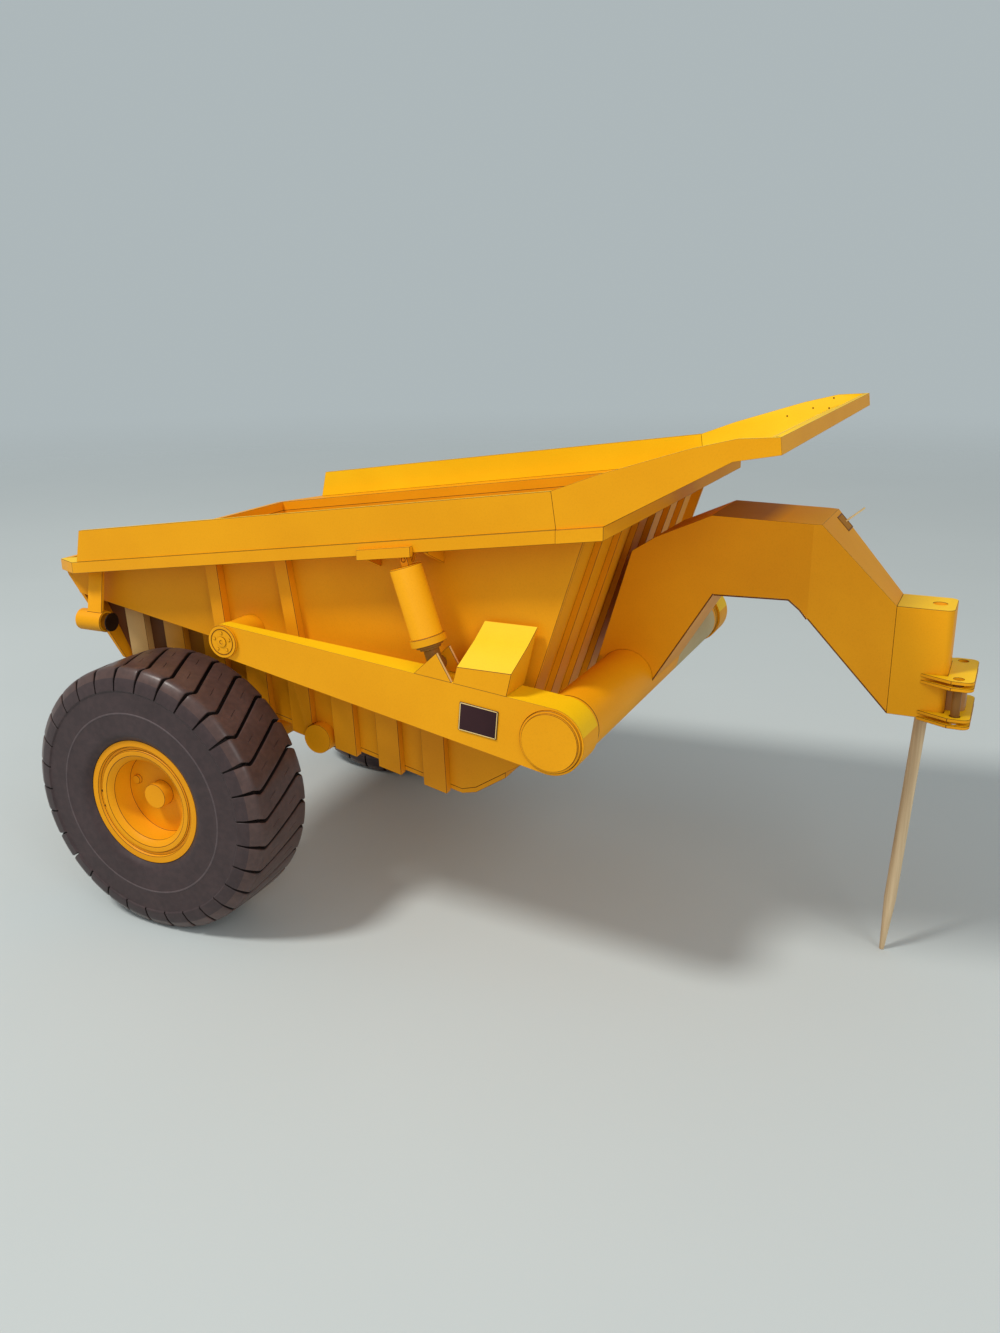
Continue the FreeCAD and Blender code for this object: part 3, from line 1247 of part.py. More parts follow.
def gooseneck():
    body = new_body("gooseneck")
    outline = (
        ("tube_x", "tube_z"),
        ("neck_heel_x", "neck_heel_z"),
        ("neck_back_x", "neck_back_z"),
        ("neck_slope_x", "neck_slope_z"),
        ("neck_crest_x", "neck_crest_z"),
        ("neck_brow_x", "neck_brow_z"),
        ("hitch_rear_x", "hitch_top_z"),
        ("hitch_rear_x", "hitch_low_z"),
        ("arch_bend_x", "arch_bend_z"),
        ("arch_front_x", "arch_front_z"),
        ("arch_rear_x", "arch_rear_z"),
        ("neck_throat_x", "neck_throat_z"),
    )
    plate(body, "XZ_Plane", outline, *across("neck_half"))
    bore(body, "XZ_Plane", (("tube_x", "tube_z"),), "tube_radius + running_gap", *across("neck_half"))
    outside = (
        ("neck_taper_x", "neck_half"),
        ("hitch_rear_x", "hitch_half"),
        ("hitch_rear_x", "neck_half + card"),
        ("neck_taper_x", "neck_half + card"),
    )
    loops = [plan(side, outside) for side in SIDES.values()]
    cut(body, "XY_Plane", loops, "hitch_low_z - card", "neck_brow_z - hitch_low_z + 2 * card")


def upright_edges(shape, x):
    """Names of the upright edges at a given distance forward."""
    found = []
    for index, edge in enumerate(shape.Edges, start=1):
        box = edge.BoundBox
        if abs(box.XMax - x) < 0.01 and box.XLength < 0.01 and box.YLength < 0.01:
            found.append(f"Edge{index}")
    return found


def round_edges(body, x, radius):
    """Round the body's upright edges at x."""
    doc.recompute()
    base = body.Tip
    item = body.newObject("PartDesign::Fillet", f"{body.Label}_round")
    item.Base = (base, upright_edges(base.Shape, value_of(x)))
    bind(item, "Radius", radius)


def hitch_box():
    body = new_body("hitch_box")
    outline = (
        ("hitch_rear_x", "hitch_low_z"),
        ("hitch_front_x", "hitch_low_z"),
        ("hitch_front_x", "hitch_top_z"),
        ("hitch_rear_x", "hitch_top_z"),
    )
    plate(body, "XZ_Plane", outline, *across("hitch_half"))
    round_edges(body, "hitch_front_x", "hitch_round")
    centre = (("hitch_hole_x", "0"),)
    bore(body, "XY_Plane", centre, "hitch_hole_radius", "hitch_top_z - hitch_hole_depth", "hitch_hole_depth")


def hitch_lugs():
    """Two pairs of plates round the hitch box, with pin holes."""
    body = new_body("hitch_lugs")
    outline = [
        ("lug_rear_x", "-hitch_half"),
        ("lug_wide_x", "-lug_half"),
        ("lug_front_x", "-lug_half"),
        ("lug_front_x", "lug_half"),
        ("lug_wide_x", "lug_half"),
        ("lug_rear_x", "hitch_half"),
    ]
    for height in ("upper_lug_z", "lower_lug_z"):
        for drop in ("0", "lug_step"):
            plate(body, "XY_Plane", outline, f"{height} - {drop}", "lug_card")
    low = "lower_lug_z - lug_step - card"
    height = f"upper_lug_z + 2 * card - ({low})"
    box = (
        ("lug_rear_x - card", "-hitch_half"),
        ("hitch_front_x", "-hitch_half"),
        ("hitch_front_x", "hitch_half"),
        ("lug_rear_x - card", "hitch_half"),
    )
    cut(body, "XY_Plane", [box], low, height)
    round_edges(body, "lug_front_x", "lug_round")
    centres = [("lug_hole_x", f"{side} * lug_hole_place") for side in SIDES.values()]
    bore(body, "XY_Plane", centres, "lug_hole_radius", low, height)


def hitch_block():
    body = new_body("hitch_block")
    outline = (
        ("hitch_front_x", "-block_half"),
        ("block_front_x", "-block_half"),
        ("block_front_x", "block_half"),
        ("hitch_front_x", "block_half"),
    )
    low = "lower_lug_z + lug_card"
    plate(body, "XY_Plane", outline, low, f"upper_lug_z - lug_step - ({low})")
    round_edges(body, "block_front_x", "lug_round")


def prop_stick():
    """Pointed round stick that leans from the floor up to the hitch box."""
    body = new_body("prop_stick")
    lean = "atan((stick_top_x - stick_tip_x) / hitch_low_z)"
    bind(body, "Placement.Base.x", f"stick_tip_x + ({FRAME_SHIFT})")
    body.Placement = FreeCAD.Placement(FreeCAD.Vector(), FreeCAD.Rotation(Y_AXIS, 1))
    bind(body, "Placement.Base.z", f"stick_tip_radius * sin({lean})")
    bind(body, "Placement.Rotation.Angle", lean)
    length = f"((hitch_low_z - stick_radius * sin({lean}) * 2 - glue_gap) / cos({lean}))"
    half = (
        ("0", "0"),
        ("stick_tip_radius", "0"),
        ("stick_radius", "stick_taper"),
        ("stick_radius", length),
        ("0", length),
    )
    revolve(body, "XZ_Plane", half, axis="V_Axis")


# Hoists, each drawn upright below its pin and leaned as a whole

HOIST_LEAN = "atan((foot_x - head_x) / (head_z - foot_z))"
HOIST_LENGTH = "sqrt((foot_x - head_x)^2 + (head_z - foot_z)^2)"
BARREL_END = f"({HOIST_LENGTH} - collar_gap)"


def hoist_body(label, side):
    body = new_body(label)
    body.Placement = FreeCAD.Placement(FreeCAD.Vector(), FreeCAD.Rotation(Y_AXIS, 1))
    bind(body, "Placement.Base.x", f"head_x + ({FRAME_SHIFT})")
    bind(body, "Placement.Base.y", f"{side} * hoist_place")
    bind(body, "Placement.Base.z", "head_z")
    bind(body, "Placement.Rotation.Angle", f"-{HOIST_LEAN}")
    return body


def local_span(side, inner, outer):
    """The same as span, measured from the hoist's own axis."""
    return span(side, f"{inner} - hoist_place", f"{outer} - hoist_place")


def stage_radius(stage):
    """Outer radius of the barrel, stage 0, and of what slides in it."""
    if stage == 0:
        return "barrel_radius"
    wall = "barrel_wall" if stage == 1 else "stage_wall"
    return f"({stage_radius(stage - 1)} - {wall} - running_gap)"


def stage_ends(stage):
    start = f"(barrel_start + barrel_top_card + {stage} * stage_step)"
    return start, f"({BARREL_END} + {stage} * stage_step)"


def barrel(name, side):
    body = hoist_body(f"{name}_hoist_barrel", side)
    inside = "barrel_radius - barrel_wall"
    end = BARREL_END
    half = (
        ("0", "-barrel_start"),
        ("barrel_radius", "-barrel_start"),
        ("barrel_radius", f"-({end} - collar_length)"),
        ("collar_radius", f"-({end} - collar_length)"),
        ("collar_radius", f"-{end}"),
        (inside, f"-{end}"),
        (inside, "-(barrel_start + barrel_top_card)"),
        ("0", "-(barrel_start + barrel_top_card)"),
    )
    revolve(body, "XZ_Plane", half, axis="V_Axis")
    reach = local_span(side, "head_eye_inner", "head_eye_outer")
    neck = (
        ("-head_eye_radius", "0"),
        ("head_eye_radius", "0"),
        ("head_eye_radius", "-barrel_start"),
        ("-head_eye_radius", "-barrel_start"),
    )
    plate(body, "XZ_Plane", neck, *reach)
    disc(body, "XZ_Plane", ("0", "0"), "head_eye_radius", *reach)
    bore(body, "XZ_Plane", (("0", "0"),), "head_pin_radius + running_gap", *reach)


def stage_tube(label, side, stage):
    body = hoist_body(label, side)
    start, end = stage_ends(stage)
    outer = stage_radius(stage)
    inner = f"{outer} - stage_wall"
    half = ((inner, f"-{start}"), (outer, f"-{start}"), (outer, f"-{end}"), (inner, f"-{end}"))
    revolve(body, "XZ_Plane", half, axis="V_Axis")


def hoist_rod(name, side):
    body = hoist_body(f"{name}_hoist_rod", side)
    start, end = stage_ends(3)
    radius = stage_radius(3)
    half = (("0", f"-{start}"), (radius, f"-{start}"), (radius, f"-{HOIST_LENGTH}"), ("0", f"-{HOIST_LENGTH}"))
    revolve(body, "XZ_Plane", half, axis="V_Axis")
    reach = local_span(side, "space_inner + foot_eye_gap", "space_outer - foot_eye_gap")
    disc(body, "XZ_Plane", ("0", f"-{HOIST_LENGTH}"), "foot_eye_radius", *reach)


def build():
    tail_plate()
    belly_plate()
    front_wall()
    front_ribs()
    cross_tube()
    tail_bar()
    header_bar()
    canopy()
    axle_beam()
    draft_tube()
    gooseneck()
    hitch_box()
    hitch_lugs()
    hitch_block()
    data_plate()
    prop_stick()
    for name, side in SIDES.items():
        bowl_side(name, side)
        low_ribs(name, side)
        side_ribs(name, side)
        side_rail(name, side)
        side_board(name, side)
        pivot_boss(name, side)
        tail_lamp(name, side)
        hoist_bracket(name, side)
        draft_arm(name, side)
        pivot_pin(name, side)
        foot_bracket(name, side)
        arm_box(name, side)
        tyre(name, side)
        rim(name, side)
        barrel(name, side)
        stage_tube(f"{name}_hoist_stage_one", side, 1)
        stage_tube(f"{name}_hoist_stage_two", side, 2)
        hoist_rod(name, side)
    doc.recompute()


def check():
    """Stop before writing if anything in the document failed."""
    for item in doc.Objects:
        faults = [state for state in item.State if state in ("Invalid", "Error")]
        if faults:
            raise RuntimeError(f"{item.Label} is {faults}")
    for item in parts:
        if item.Shape.isNull() or not item.Shape.isValid() or not item.Shape.Solids:
            raise RuntimeError(f"{item.Label} has no valid solid")


build()
check()
for item in parts:
    item.Shape.exportStep(f"parts/{item.Label}.step")
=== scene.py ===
import json
from math import cos, degrees, pi, radians, sin

import bmesh
import bpy
from mathutils import Matrix, Vector


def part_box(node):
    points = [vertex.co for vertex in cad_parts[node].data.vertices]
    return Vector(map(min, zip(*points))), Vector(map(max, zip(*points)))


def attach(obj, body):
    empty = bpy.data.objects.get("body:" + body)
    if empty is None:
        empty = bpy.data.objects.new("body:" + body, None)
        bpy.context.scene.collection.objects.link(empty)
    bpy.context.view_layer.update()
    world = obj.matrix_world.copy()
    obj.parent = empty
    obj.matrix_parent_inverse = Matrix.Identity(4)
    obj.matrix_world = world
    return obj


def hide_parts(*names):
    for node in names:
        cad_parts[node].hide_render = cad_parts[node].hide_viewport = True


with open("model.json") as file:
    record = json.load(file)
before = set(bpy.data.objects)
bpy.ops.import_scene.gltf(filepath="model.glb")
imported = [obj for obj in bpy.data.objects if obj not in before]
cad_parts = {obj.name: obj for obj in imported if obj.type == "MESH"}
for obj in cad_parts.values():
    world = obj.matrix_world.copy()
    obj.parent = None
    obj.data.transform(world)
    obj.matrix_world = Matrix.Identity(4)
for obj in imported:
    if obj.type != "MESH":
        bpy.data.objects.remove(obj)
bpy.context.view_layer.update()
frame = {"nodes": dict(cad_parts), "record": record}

# Looks of the card model trailer. Lengths are in millimetres until they reach a mesh.

MM = 0.001
RECORD = frame["record"]
NODE_BODY = {node: body for body, nodes in RECORD["behaviour"]["bodies"].items() for node in nodes}
NODE_SLOT = {part["node"]: part["material_slot"] for part in RECORD["subparts"]}
SIDES = {"near": -1, "far": 1}


def both(*names):
    """The near and the far node of each name."""
    return [f"{side}_{name}" for name in names for side in SIDES]


def size_of(node):
    """Lower and upper corner of a CAD node in millimetres."""
    low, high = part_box(node)
    return Vector(low) / MM, Vector(high) / MM


def centre_of(node):
    """Middle of a CAD node's box."""
    low, high = size_of(node)
    return (low + high) / 2


def face_y(node, side):
    """Y of the face that a CAD node turns to a side."""
    low, high = size_of(node)
    return low.y if side < 0 else high.y


def outer_centre(node, side, sunk=0.0):
    """Middle of the face that a CAD node turns to a side, or a little inside it."""
    centre = centre_of(node)
    centre.y = face_y(node, side) - side * sunk
    return centre


AXLE_X = centre_of("near_tyre").x


def from_axle(x, y, z):
    """A place whose X is measured from the axle."""
    return Vector((x + AXLE_X, y, z))


# Camera, lights and stage

CAMERA_PLACE = (122.795, -276.249, 160.997)
CAMERA_ANGLES = (25.184, 17.749, -0.526)
SENSOR_WIDTH = 36.0
LENS = 30.61
CLIP_NEAR, CLIP_FAR = 0.01, 20.0
WORLD_TINT = (0.94, 0.97, 1.0)
WORLD_LIGHT = 0.42
BACKDROP = (0.42, 0.475, 0.49)
# Half of the floor's side, and where it starts and ends to fade into the backdrop, in metres
FLOOR_HALF = 3.0
FLOOR_FADE = (0.35, 1.6)


def add_camera():
    """The photograph's viewpoint. The sensor's width is for the frame's height, its longer side."""
    data = bpy.data.cameras.new("camera")
    data.sensor_fit = "AUTO"
    data.sensor_width = SENSOR_WIDTH
    data.lens = LENS
    data.clip_start = CLIP_NEAR
    data.clip_end = CLIP_FAR
    camera = bpy.data.objects.new("camera", data)
    yaw, pitch, roll = (radians(angle) for angle in CAMERA_ANGLES)
    back = Vector((sin(yaw) * cos(pitch), -cos(yaw) * cos(pitch), sin(pitch)))
    right = (-back).cross(Vector((0, 0, 1))).normalized()
    up = right.cross(-back)
    axes = (cos(roll) * right + sin(roll) * up, cos(roll) * up - sin(roll) * right, back)
    camera.matrix_world = Matrix(axes).transposed().to_4x4()
    camera.matrix_world.translation = Vector(CAMERA_PLACE) * MM
    bpy.context.scene.collection.objects.link(camera)
    bpy.context.scene.camera = camera


def add_light(name, place, target, size, power, color=(1, 1, 1)):
    """A round lamp that faces its target. Places and size are in metres."""
    data = bpy.data.lights.new(name, "AREA")
    data.shape = "DISK"
    data.size = size
    data.energy = power
    data.color = color
    light = bpy.data.objects.new(name, data)
    light.location = place
    light.rotation_euler = (Vector(target) - Vector(place)).to_track_quat("-Z", "Y").to_euler()
    bpy.context.scene.collection.objects.link(light)


def add_world():
    """Even pale light, with the pale backdrop seen by the camera and in reflections."""
    world = bpy.data.worlds.new("world")
    world.use_nodes = True
    nodes, links = world.node_tree.nodes, world.node_tree.links
    nodes.clear()
    path = nodes.new("ShaderNodeLightPath")
    seen = nodes.new("ShaderNodeMath")
    seen.operation = "MAXIMUM"
    for socket, ray in enumerate(("Is Camera Ray", "Is Glossy Ray")):
        links.new(path.outputs[ray], seen.inputs[socket])
    mix = nodes.new("ShaderNodeMixShader")
    links.new(seen.outputs[0], mix.inputs[0])
    for socket, (tint, strength) in enumerate(((WORLD_TINT, WORLD_LIGHT), (BACKDROP, 1.0)), start=1):
        background = nodes.new("ShaderNodeBackground")
        background.inputs["Color"].default_value = (*tint, 1)
        background.inputs["Strength"].default_value = strength
        links.new(background.outputs[0], mix.inputs[socket])
    output = nodes.new("ShaderNodeOutputWorld")
    links.new(mix.outputs[0], output.inputs["Surface"])
    bpy.context.scene.world = world


def add_floor(material):
    """Flat square floor under the model."""
    mesh = bpy.data.meshes.new("floor")
    corners = [(x * FLOOR_HALF, y * FLOOR_HALF, 0) for x, y in ((-1, -1), (1, -1), (1, 1), (-1, 1))]
    mesh.from_pydata(corners, [], [(0, 1, 2, 3)])
    mesh.materials.append(material)
    floor = bpy.data.objects.new("floor", mesh)
    bpy.context.scene.collection.objects.link(floor)


# Materials

# Sockets of a mix of two colours
MIX_FACTOR, MIX_FIRST, MIX_SECOND = 0, 6, 7


class Nodes:
    """A material's node tree, with short calls for what is used here."""

    def __init__(self, name, roughness, **sockets):
        self.material = bpy.data.materials.new(name)
        self.material.use_nodes = True
        self.tree = self.material.node_tree
        self.shader = self.tree.nodes["Principled BSDF"]
        self.shader.inputs["Roughness"].default_value = roughness
        for socket, value in sockets.items():
            self.shader.inputs[socket.replace("_", " ")].default_value = value
        self.place = self.add("TexCoord").outputs["Object"]

    def add(self, kind, **inputs):
        """A new node. Each input is a value or another node's output."""
        node = self.tree.nodes.new(f"ShaderNode{kind}")
        for socket, value in inputs.items():
            self.put(value, node.inputs[socket.replace("_", " ")])
        return node

    def put(self, value, socket):
        """Link an output to a socket, or set the socket's value."""
        if isinstance(value, bpy.types.NodeSocket):
            self.tree.links.new(value, socket)
        else:
            socket.default_value = value

    def noise(self, scale, detail, stretch=None):
        """Noise of a scale per metre."""
        place = self.place
        if stretch:
            place = self.add("Mapping", Vector=place, Scale=stretch).outputs[0]
        return self.add("TexNoise", Vector=place, Scale=scale, Detail=detail).outputs["Fac"]

    def along_x(self, start, end):
        """0 to 1 between two places along X, in millimetres."""
        value = self.add("SeparateXYZ", Vector=self.place).outputs["X"]
        return self.add("MapRange", Value=value, From_Min=start * MM, From_Max=end * MM).outputs[0]

    def ramp(self, value, low, high, low_at=0.3, high_at=0.7):
        """A colour between two, by a value."""
        node = self.add("ValToRGB", Fac=value)
        ends = node.color_ramp.elements
        ends[0].position, ends[1].position = low_at, high_at
        ends[0].color, ends[1].color = (*low, 1), (*high, 1)
        return node.outputs["Color"]

    def mix(self, factor, first, second, blend="MIX"):
        """Two colours mixed or blended."""
        node = self.tree.nodes.new("ShaderNodeMix")
        node.data_type = "RGBA"
        node.blend_type = blend
        for value, socket in ((factor, MIX_FACTOR), (first, MIX_FIRST), (second, MIX_SECOND)):
            self.put(value, node.inputs[socket])
        return node.outputs[2]

    def bump(self, height, distance, strength):
        """Bump of a depth in millimetres, over the bump that is there."""
        normal = self.shader.inputs["Normal"]
        node = self.add("Bump", Height=height, Distance=distance * MM, Strength=strength)
        if normal.links:
            self.tree.links.new(normal.links[0].from_socket, node.inputs["Normal"])
        self.put(node.outputs[0], normal)

    def color(self, value):
        """Set the shader's colour."""
        self.put(value, self.shader.inputs["Base Color"])


def card(name, low, high, roughness=0.5, fade=None):
    """Printed card: slightly uneven ink, fine fibres and a slight waviness.

    fade holds two places along X in millimetres, and the tone at the second, which paints light and shade
    over the ink."""
    nodes = Nodes(name, roughness, Specular_IOR_Level=0.14)
    ink = nodes.ramp(nodes.noise(45.0, 3.0), low, high, 0.35, 0.65)
    if fade:
        start, end, tone = fade
        ink = nodes.mix(nodes.along_x(start, end), ink, (*tone, 1))
    speck = nodes.ramp(nodes.noise(2600.0, 2.0), (0.93, 0.92, 0.90), (1.0, 1.0, 1.0), 0.35, 0.5)
    nodes.color(nodes.mix(0.5, ink, speck, "MULTIPLY"))
    nodes.bump(nodes.noise(1400.0, 3.0), distance=0.02, strength=0.3)
    nodes.bump(nodes.noise(50.0, 2.0), distance=0.5, strength=0.12)
    return nodes.material


def rubber_print(name, low, high, roughness):
    """Card printed as dusty rubber."""
    nodes = Nodes(name, roughness, Specular_IOR_Level=0.3)
    tone = nodes.ramp(nodes.noise(120.0, 5.0), low, high)
    dust = nodes.ramp(nodes.noise(700.0, 4.0), (0.85, 0.85, 0.85), (1.12, 1.08, 1.06), 0.4, 0.62)
    nodes.color(nodes.mix(0.7, tone, dust, "MULTIPLY"))
    nodes.bump(nodes.noise(1200.0, 3.0), distance=0.03, strength=0.4)
    nodes.bump(nodes.noise(90.0, 3.0), distance=0.4, strength=0.2)
    return nodes.material


def bamboo():
    """Pale wood with its grain along Z."""
    nodes = Nodes("bamboo", 0.55)
    grain = nodes.noise(900.0, 4.0, stretch=(1.0, 1.0, 0.03))
    nodes.color(nodes.ramp(grain, (0.50, 0.34, 0.18), (0.74, 0.56, 0.33)))
    nodes.bump(grain, distance=0.05, strength=0.5)
    return nodes.material


def floor_paper():
    """Pale sheet that fades into the backdrop."""
    nodes = Nodes("floor_paper", 0.85)
    nodes.color(nodes.ramp(nodes.noise(5.0, 3.0), (0.55, 0.605, 0.60), (0.575, 0.63, 0.625)))
    distance = nodes.add("VectorMath", Vector=nodes.place)
    distance.operation = "LENGTH"
    start, end = FLOOR_FADE
    fade = nodes.add("MapRange", Value=distance.outputs["Value"], From_Min=start, From_Max=end)
    fade.interpolation_type = "SMOOTHSTEP"
    clear = nodes.add("BsdfTransparent")
    mixed = nodes.add("MixShader", Fac=fade.outputs[0])
    nodes.put(nodes.shader.outputs[0], mixed.inputs[1])
    nodes.put(clear.outputs[0], mixed.inputs[2])
    nodes.put(mixed.outputs[0], nodes.tree.nodes["Material Output"].inputs["Surface"])
    return nodes.material


YELLOW = card("yellow_card", (0.85, 0.355, 0.004), (0.90, 0.39, 0.005))
# A lighter copy of the yellow print: painted light on tops and inner faces
LIT_YELLOW = card("lit_yellow_card", (0.94, 0.56, 0.005), (0.98, 0.61, 0.007))
# A darker, more orange copy of the yellow print: painted shade on the walls, ribs, rims, tubes and the
# gooseneck
SHADED_YELLOW = card("shaded_yellow_card", (0.79, 0.31, 0.004), (0.85, 0.35, 0.005))
# Painted light and shade along the length: the low ribs, a shaded copy of the print, turn pale with painted
# light towards the tail, the hull darkens with painted shadow towards the tail, and the neck's top carries
# the canopy's painted shadow, turning yellow towards its front
RIB_SHADE_AND_LIGHT = card("rib_shade_and_light_card", (0.72, 0.27, 0.005), (0.80, 0.32, 0.007),
           fade=(-80.0, -108.0, (0.66, 0.50, 0.24)))
NECK_SHADOW = card("neck_top_shadow", (0.36, 0.15, 0.030), (0.44, 0.19, 0.040),
            fade=(66.0, 71.0, (0.90, 0.42, 0.006)))
HULL_SHADOW = card("hull_shadow_card", (0.77, 0.30, 0.004), (0.83, 0.34, 0.005),
            fade=(-62.0, -88.0, (0.16, 0.062, 0.022)))
LINE = card("fold_line", (0.13, 0.036, 0.003), (0.19, 0.06, 0.005))
PALE = card("cut_card", (0.80, 0.56, 0.20), (0.88, 0.66, 0.30), 0.6)
# Pale band on the draft tube's far part: painted reflection of the pale backdrop
TUBE_REFLECTION = card("tube_reflection_card", (0.58, 0.46, 0.24), (0.66, 0.54, 0.30), 0.7)
# Near black discs in the rim's valve holes and the lamp tube's open end: painted shade inside them
HOLE_SHADE = card("hole_shade_card", (0.018, 0.008, 0.004), (0.035, 0.016, 0.008))
# The hitch block and pins: brown that paints the shade between the hitch lugs onto the yellow card
HITCH_SHADE = card("hitch_block_card", (0.36, 0.17, 0.05), (0.50, 0.26, 0.09), 0.3)
PIN_SHADE = card("pin_shade_card", (0.20, 0.085, 0.018), (0.32, 0.15, 0.035), 0.35)
PLUM = card("plate_print", (0.028, 0.010, 0.013), (0.045, 0.017, 0.020), 0.45)
WINDOW = card("window_card", (0.38, 0.15, 0.014), (0.46, 0.20, 0.022), 0.7)
ROD = card("rod_card", (0.24, 0.10, 0.014), (0.34, 0.15, 0.022))
TREAD = rubber_print("tread", (0.074, 0.044, 0.039), (0.104, 0.063, 0.056), 0.32)
WALL = rubber_print("sidewall", (0.046, 0.030, 0.031), (0.060, 0.039, 0.040), 0.5)
RIDGE = rubber_print("sidewall_ridge", (0.085, 0.062, 0.064), (0.11, 0.082, 0.085), 0.5)
# Near black groove floors: painted shade in the grooves
GROOVE_SHADE = rubber_print("groove", (0.013, 0.008, 0.007), (0.022, 0.013, 0.011), 0.7)
WOOD = bamboo()

SLOT_MATERIAL = {
    "yellow_card": YELLOW, "yellow_box": YELLOW, "tyre_card": WALL, "rod_card": ROD,
    "plate_print": PLUM, "stick_wood": WOOD}
# Pieces in the copy of the yellow print darkened by painted shade
SHADED_NODES = both("bowl_side", "side_ribs", "rim") + [
    "front_ribs", "front_wall", "belly_plate", "tail_plate", "axle_beam", "cross_tube", "gooseneck"]
NODE_MATERIAL = {
    **{node: SLOT_MATERIAL[slot] for node, slot in NODE_SLOT.items()},
    **dict.fromkeys(SHADED_NODES, SHADED_YELLOW),
    **dict.fromkeys(both("low_ribs"), RIB_SHADE_AND_LIGHT),
    # the hitch block in brown painted shade
    "hitch_block": HITCH_SHADE}


# Paint by face: a material, and a test of the face's middle in millimetres and its normal

FACES_DOWN = (PALE, lambda middle, normal: normal.z < -0.9)
# Tops made lighter with painted light
LIT_FACES_UP = (LIT_YELLOW, lambda middle, normal: normal.z > 0.3)
PALE_TOP = (PALE, lambda middle, normal: normal.z > 0.3)
# Inner faces on the far side made lighter with painted light
LIT_FAR_INSIDE = (LIT_YELLOW, lambda middle, normal: normal.y < -0.5 and middle.y > 0)
# Low side faces darkened towards the tail with painted shadow
LOW_SIDE_SHADOW = (HULL_SHADOW, lambda middle, normal: abs(normal.y) > 0.5 and middle.z < 75)
# The neck's top in the canopy's painted shadow
NECK_TOP_SHADOW = (NECK_SHADOW, lambda middle, normal: normal.z > 0.95)
# The neck's front slope in the plain yellow, lighter than the painted shade on the rest of the neck
NECK_SLOPE = (YELLOW, lambda middle, normal: normal.z > 0.3 and normal.x > 0.3)
LIT_TOP_NODES = both("arm_box", "draft_arm") + ["near_board", "near_rail", "hitch_box", "hitch_lugs"]
PAINT = {
    **dict.fromkeys(LIT_TOP_NODES, (LIT_FACES_UP,)),
    **dict.fromkeys(("canopy", "far_board"), (LIT_FACES_UP, LIT_FAR_INSIDE)),
    **dict.fromkeys(both("bowl_side"), (LOW_SIDE_SHADOW,)),
    **dict.fromkeys(both("low_ribs"), (FACES_DOWN,)),
    **dict.fromkeys(both("foot_bracket"), (PALE_TOP,)),
    "gooseneck": (NECK_TOP_SHADOW, NECK_SLOPE)}


# Pieces

IN_METRES = Matrix.Diagonal((MM, MM, MM, 1))
# Turns of a turned piece, whose axis is along Y
ALONG_X = Matrix.Rotation(-pi / 2, 4, "Z")
ALONG_Y = Matrix.Identity(4)
ALONG_Z = Matrix.Rotation(pi / 2, 4, "X")
FACE_OUT = {-1: Matrix.Rotation(pi, 4, "X"), 1: ALONG_Y}
# Points of a sheet that are nearer than this are one, and faces that turn less than this are one
SLIVER = 0.05
FLAT_ANGLE = 0.4
# An edge that turns more than this is folded, and its printed line is this wide
FOLD_ANGLE = 22.0
FOLD_WIDTH = 0.09
WIDE_FOLDS = {"gooseneck": 0.2}
# Softened edge of the small flat pieces
BLOCK_EDGE = 0.04
# Edges that turn more than this are shaded sharp
SHARP_SHEET, SHARP_TURNED, SHARP_TYRE = 28.0, 30.0, 24.0


def new_piece(name, data, node, materials, replaces=False):
    """A piece on the body of a CAD node, with the given materials; the node is hidden if the piece replaces
    it.
    """
    for material in materials:
        data.materials.append(material)
    piece = bpy.data.objects.new(name, data)
    bpy.context.scene.collection.objects.link(piece)
    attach(piece, NODE_BODY[node])
    if replaces:
        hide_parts(node)


def made(shape, name, sharp=None):
    """The shape's mesh, with its edges shaded sharp above an angle."""
    mesh = bpy.data.meshes.new(name)
    shape.to_mesh(mesh)
    shape.free()
    if sharp:
        mesh.set_sharp_from_angle(angle=radians(sharp))
    return mesh


def soften(shape, edges, width, **options):
    """Cut edges off by a narrow flat band."""
    bmesh.ops.bevel(
        shape, geom=edges, offset=width * MM, offset_type="OFFSET", segments=1, profile=0.5,
        affect="EDGES", clamp_overlap=True, **options)


def sheet_of(node):
    """A CAD node's shape with one face for each flat, and no sliver edges."""
    shape = bmesh.new()
    shape.from_mesh(frame["nodes"][node].data)
    bmesh.ops.remove_doubles(shape, verts=shape.verts, dist=SLIVER * MM)
    bmesh.ops.dissolve_limit(
        shape, angle_limit=radians(FLAT_ANGLE), verts=shape.verts, edges=shape.edges)
    shape.normal_update()
    return shape


def dress(node):
    """A CAD node's sheet with its paint, each folded edge printed with a fine dark line."""
    paint = PAINT.get(node, ())
    shape = sheet_of(node)
    for face in shape.faces:
        face.smooth = True
        face.material_index = 0
        for index, (_, test) in enumerate(paint, start=2):
            if test(face.calc_center_median() / MM, face.normal):
                face.material_index = index
    folds = [edge for edge in shape.edges
             if len(edge.link_faces) == 2 and degrees(edge.calc_face_angle()) > FOLD_ANGLE]
    soften(shape, folds, WIDE_FOLDS.get(node, FOLD_WIDTH), material=1, loop_slide=False)
    main = NODE_MATERIAL[node]
    line = LINE if main in (YELLOW, SHADED_YELLOW, RIB_SHADE_AND_LIGHT) else main
    materials = [main, line] + [material for material, _ in paint]
    new_piece(f"{node}_card", made(shape, node, SHARP_SHEET), node, materials, replaces=True)


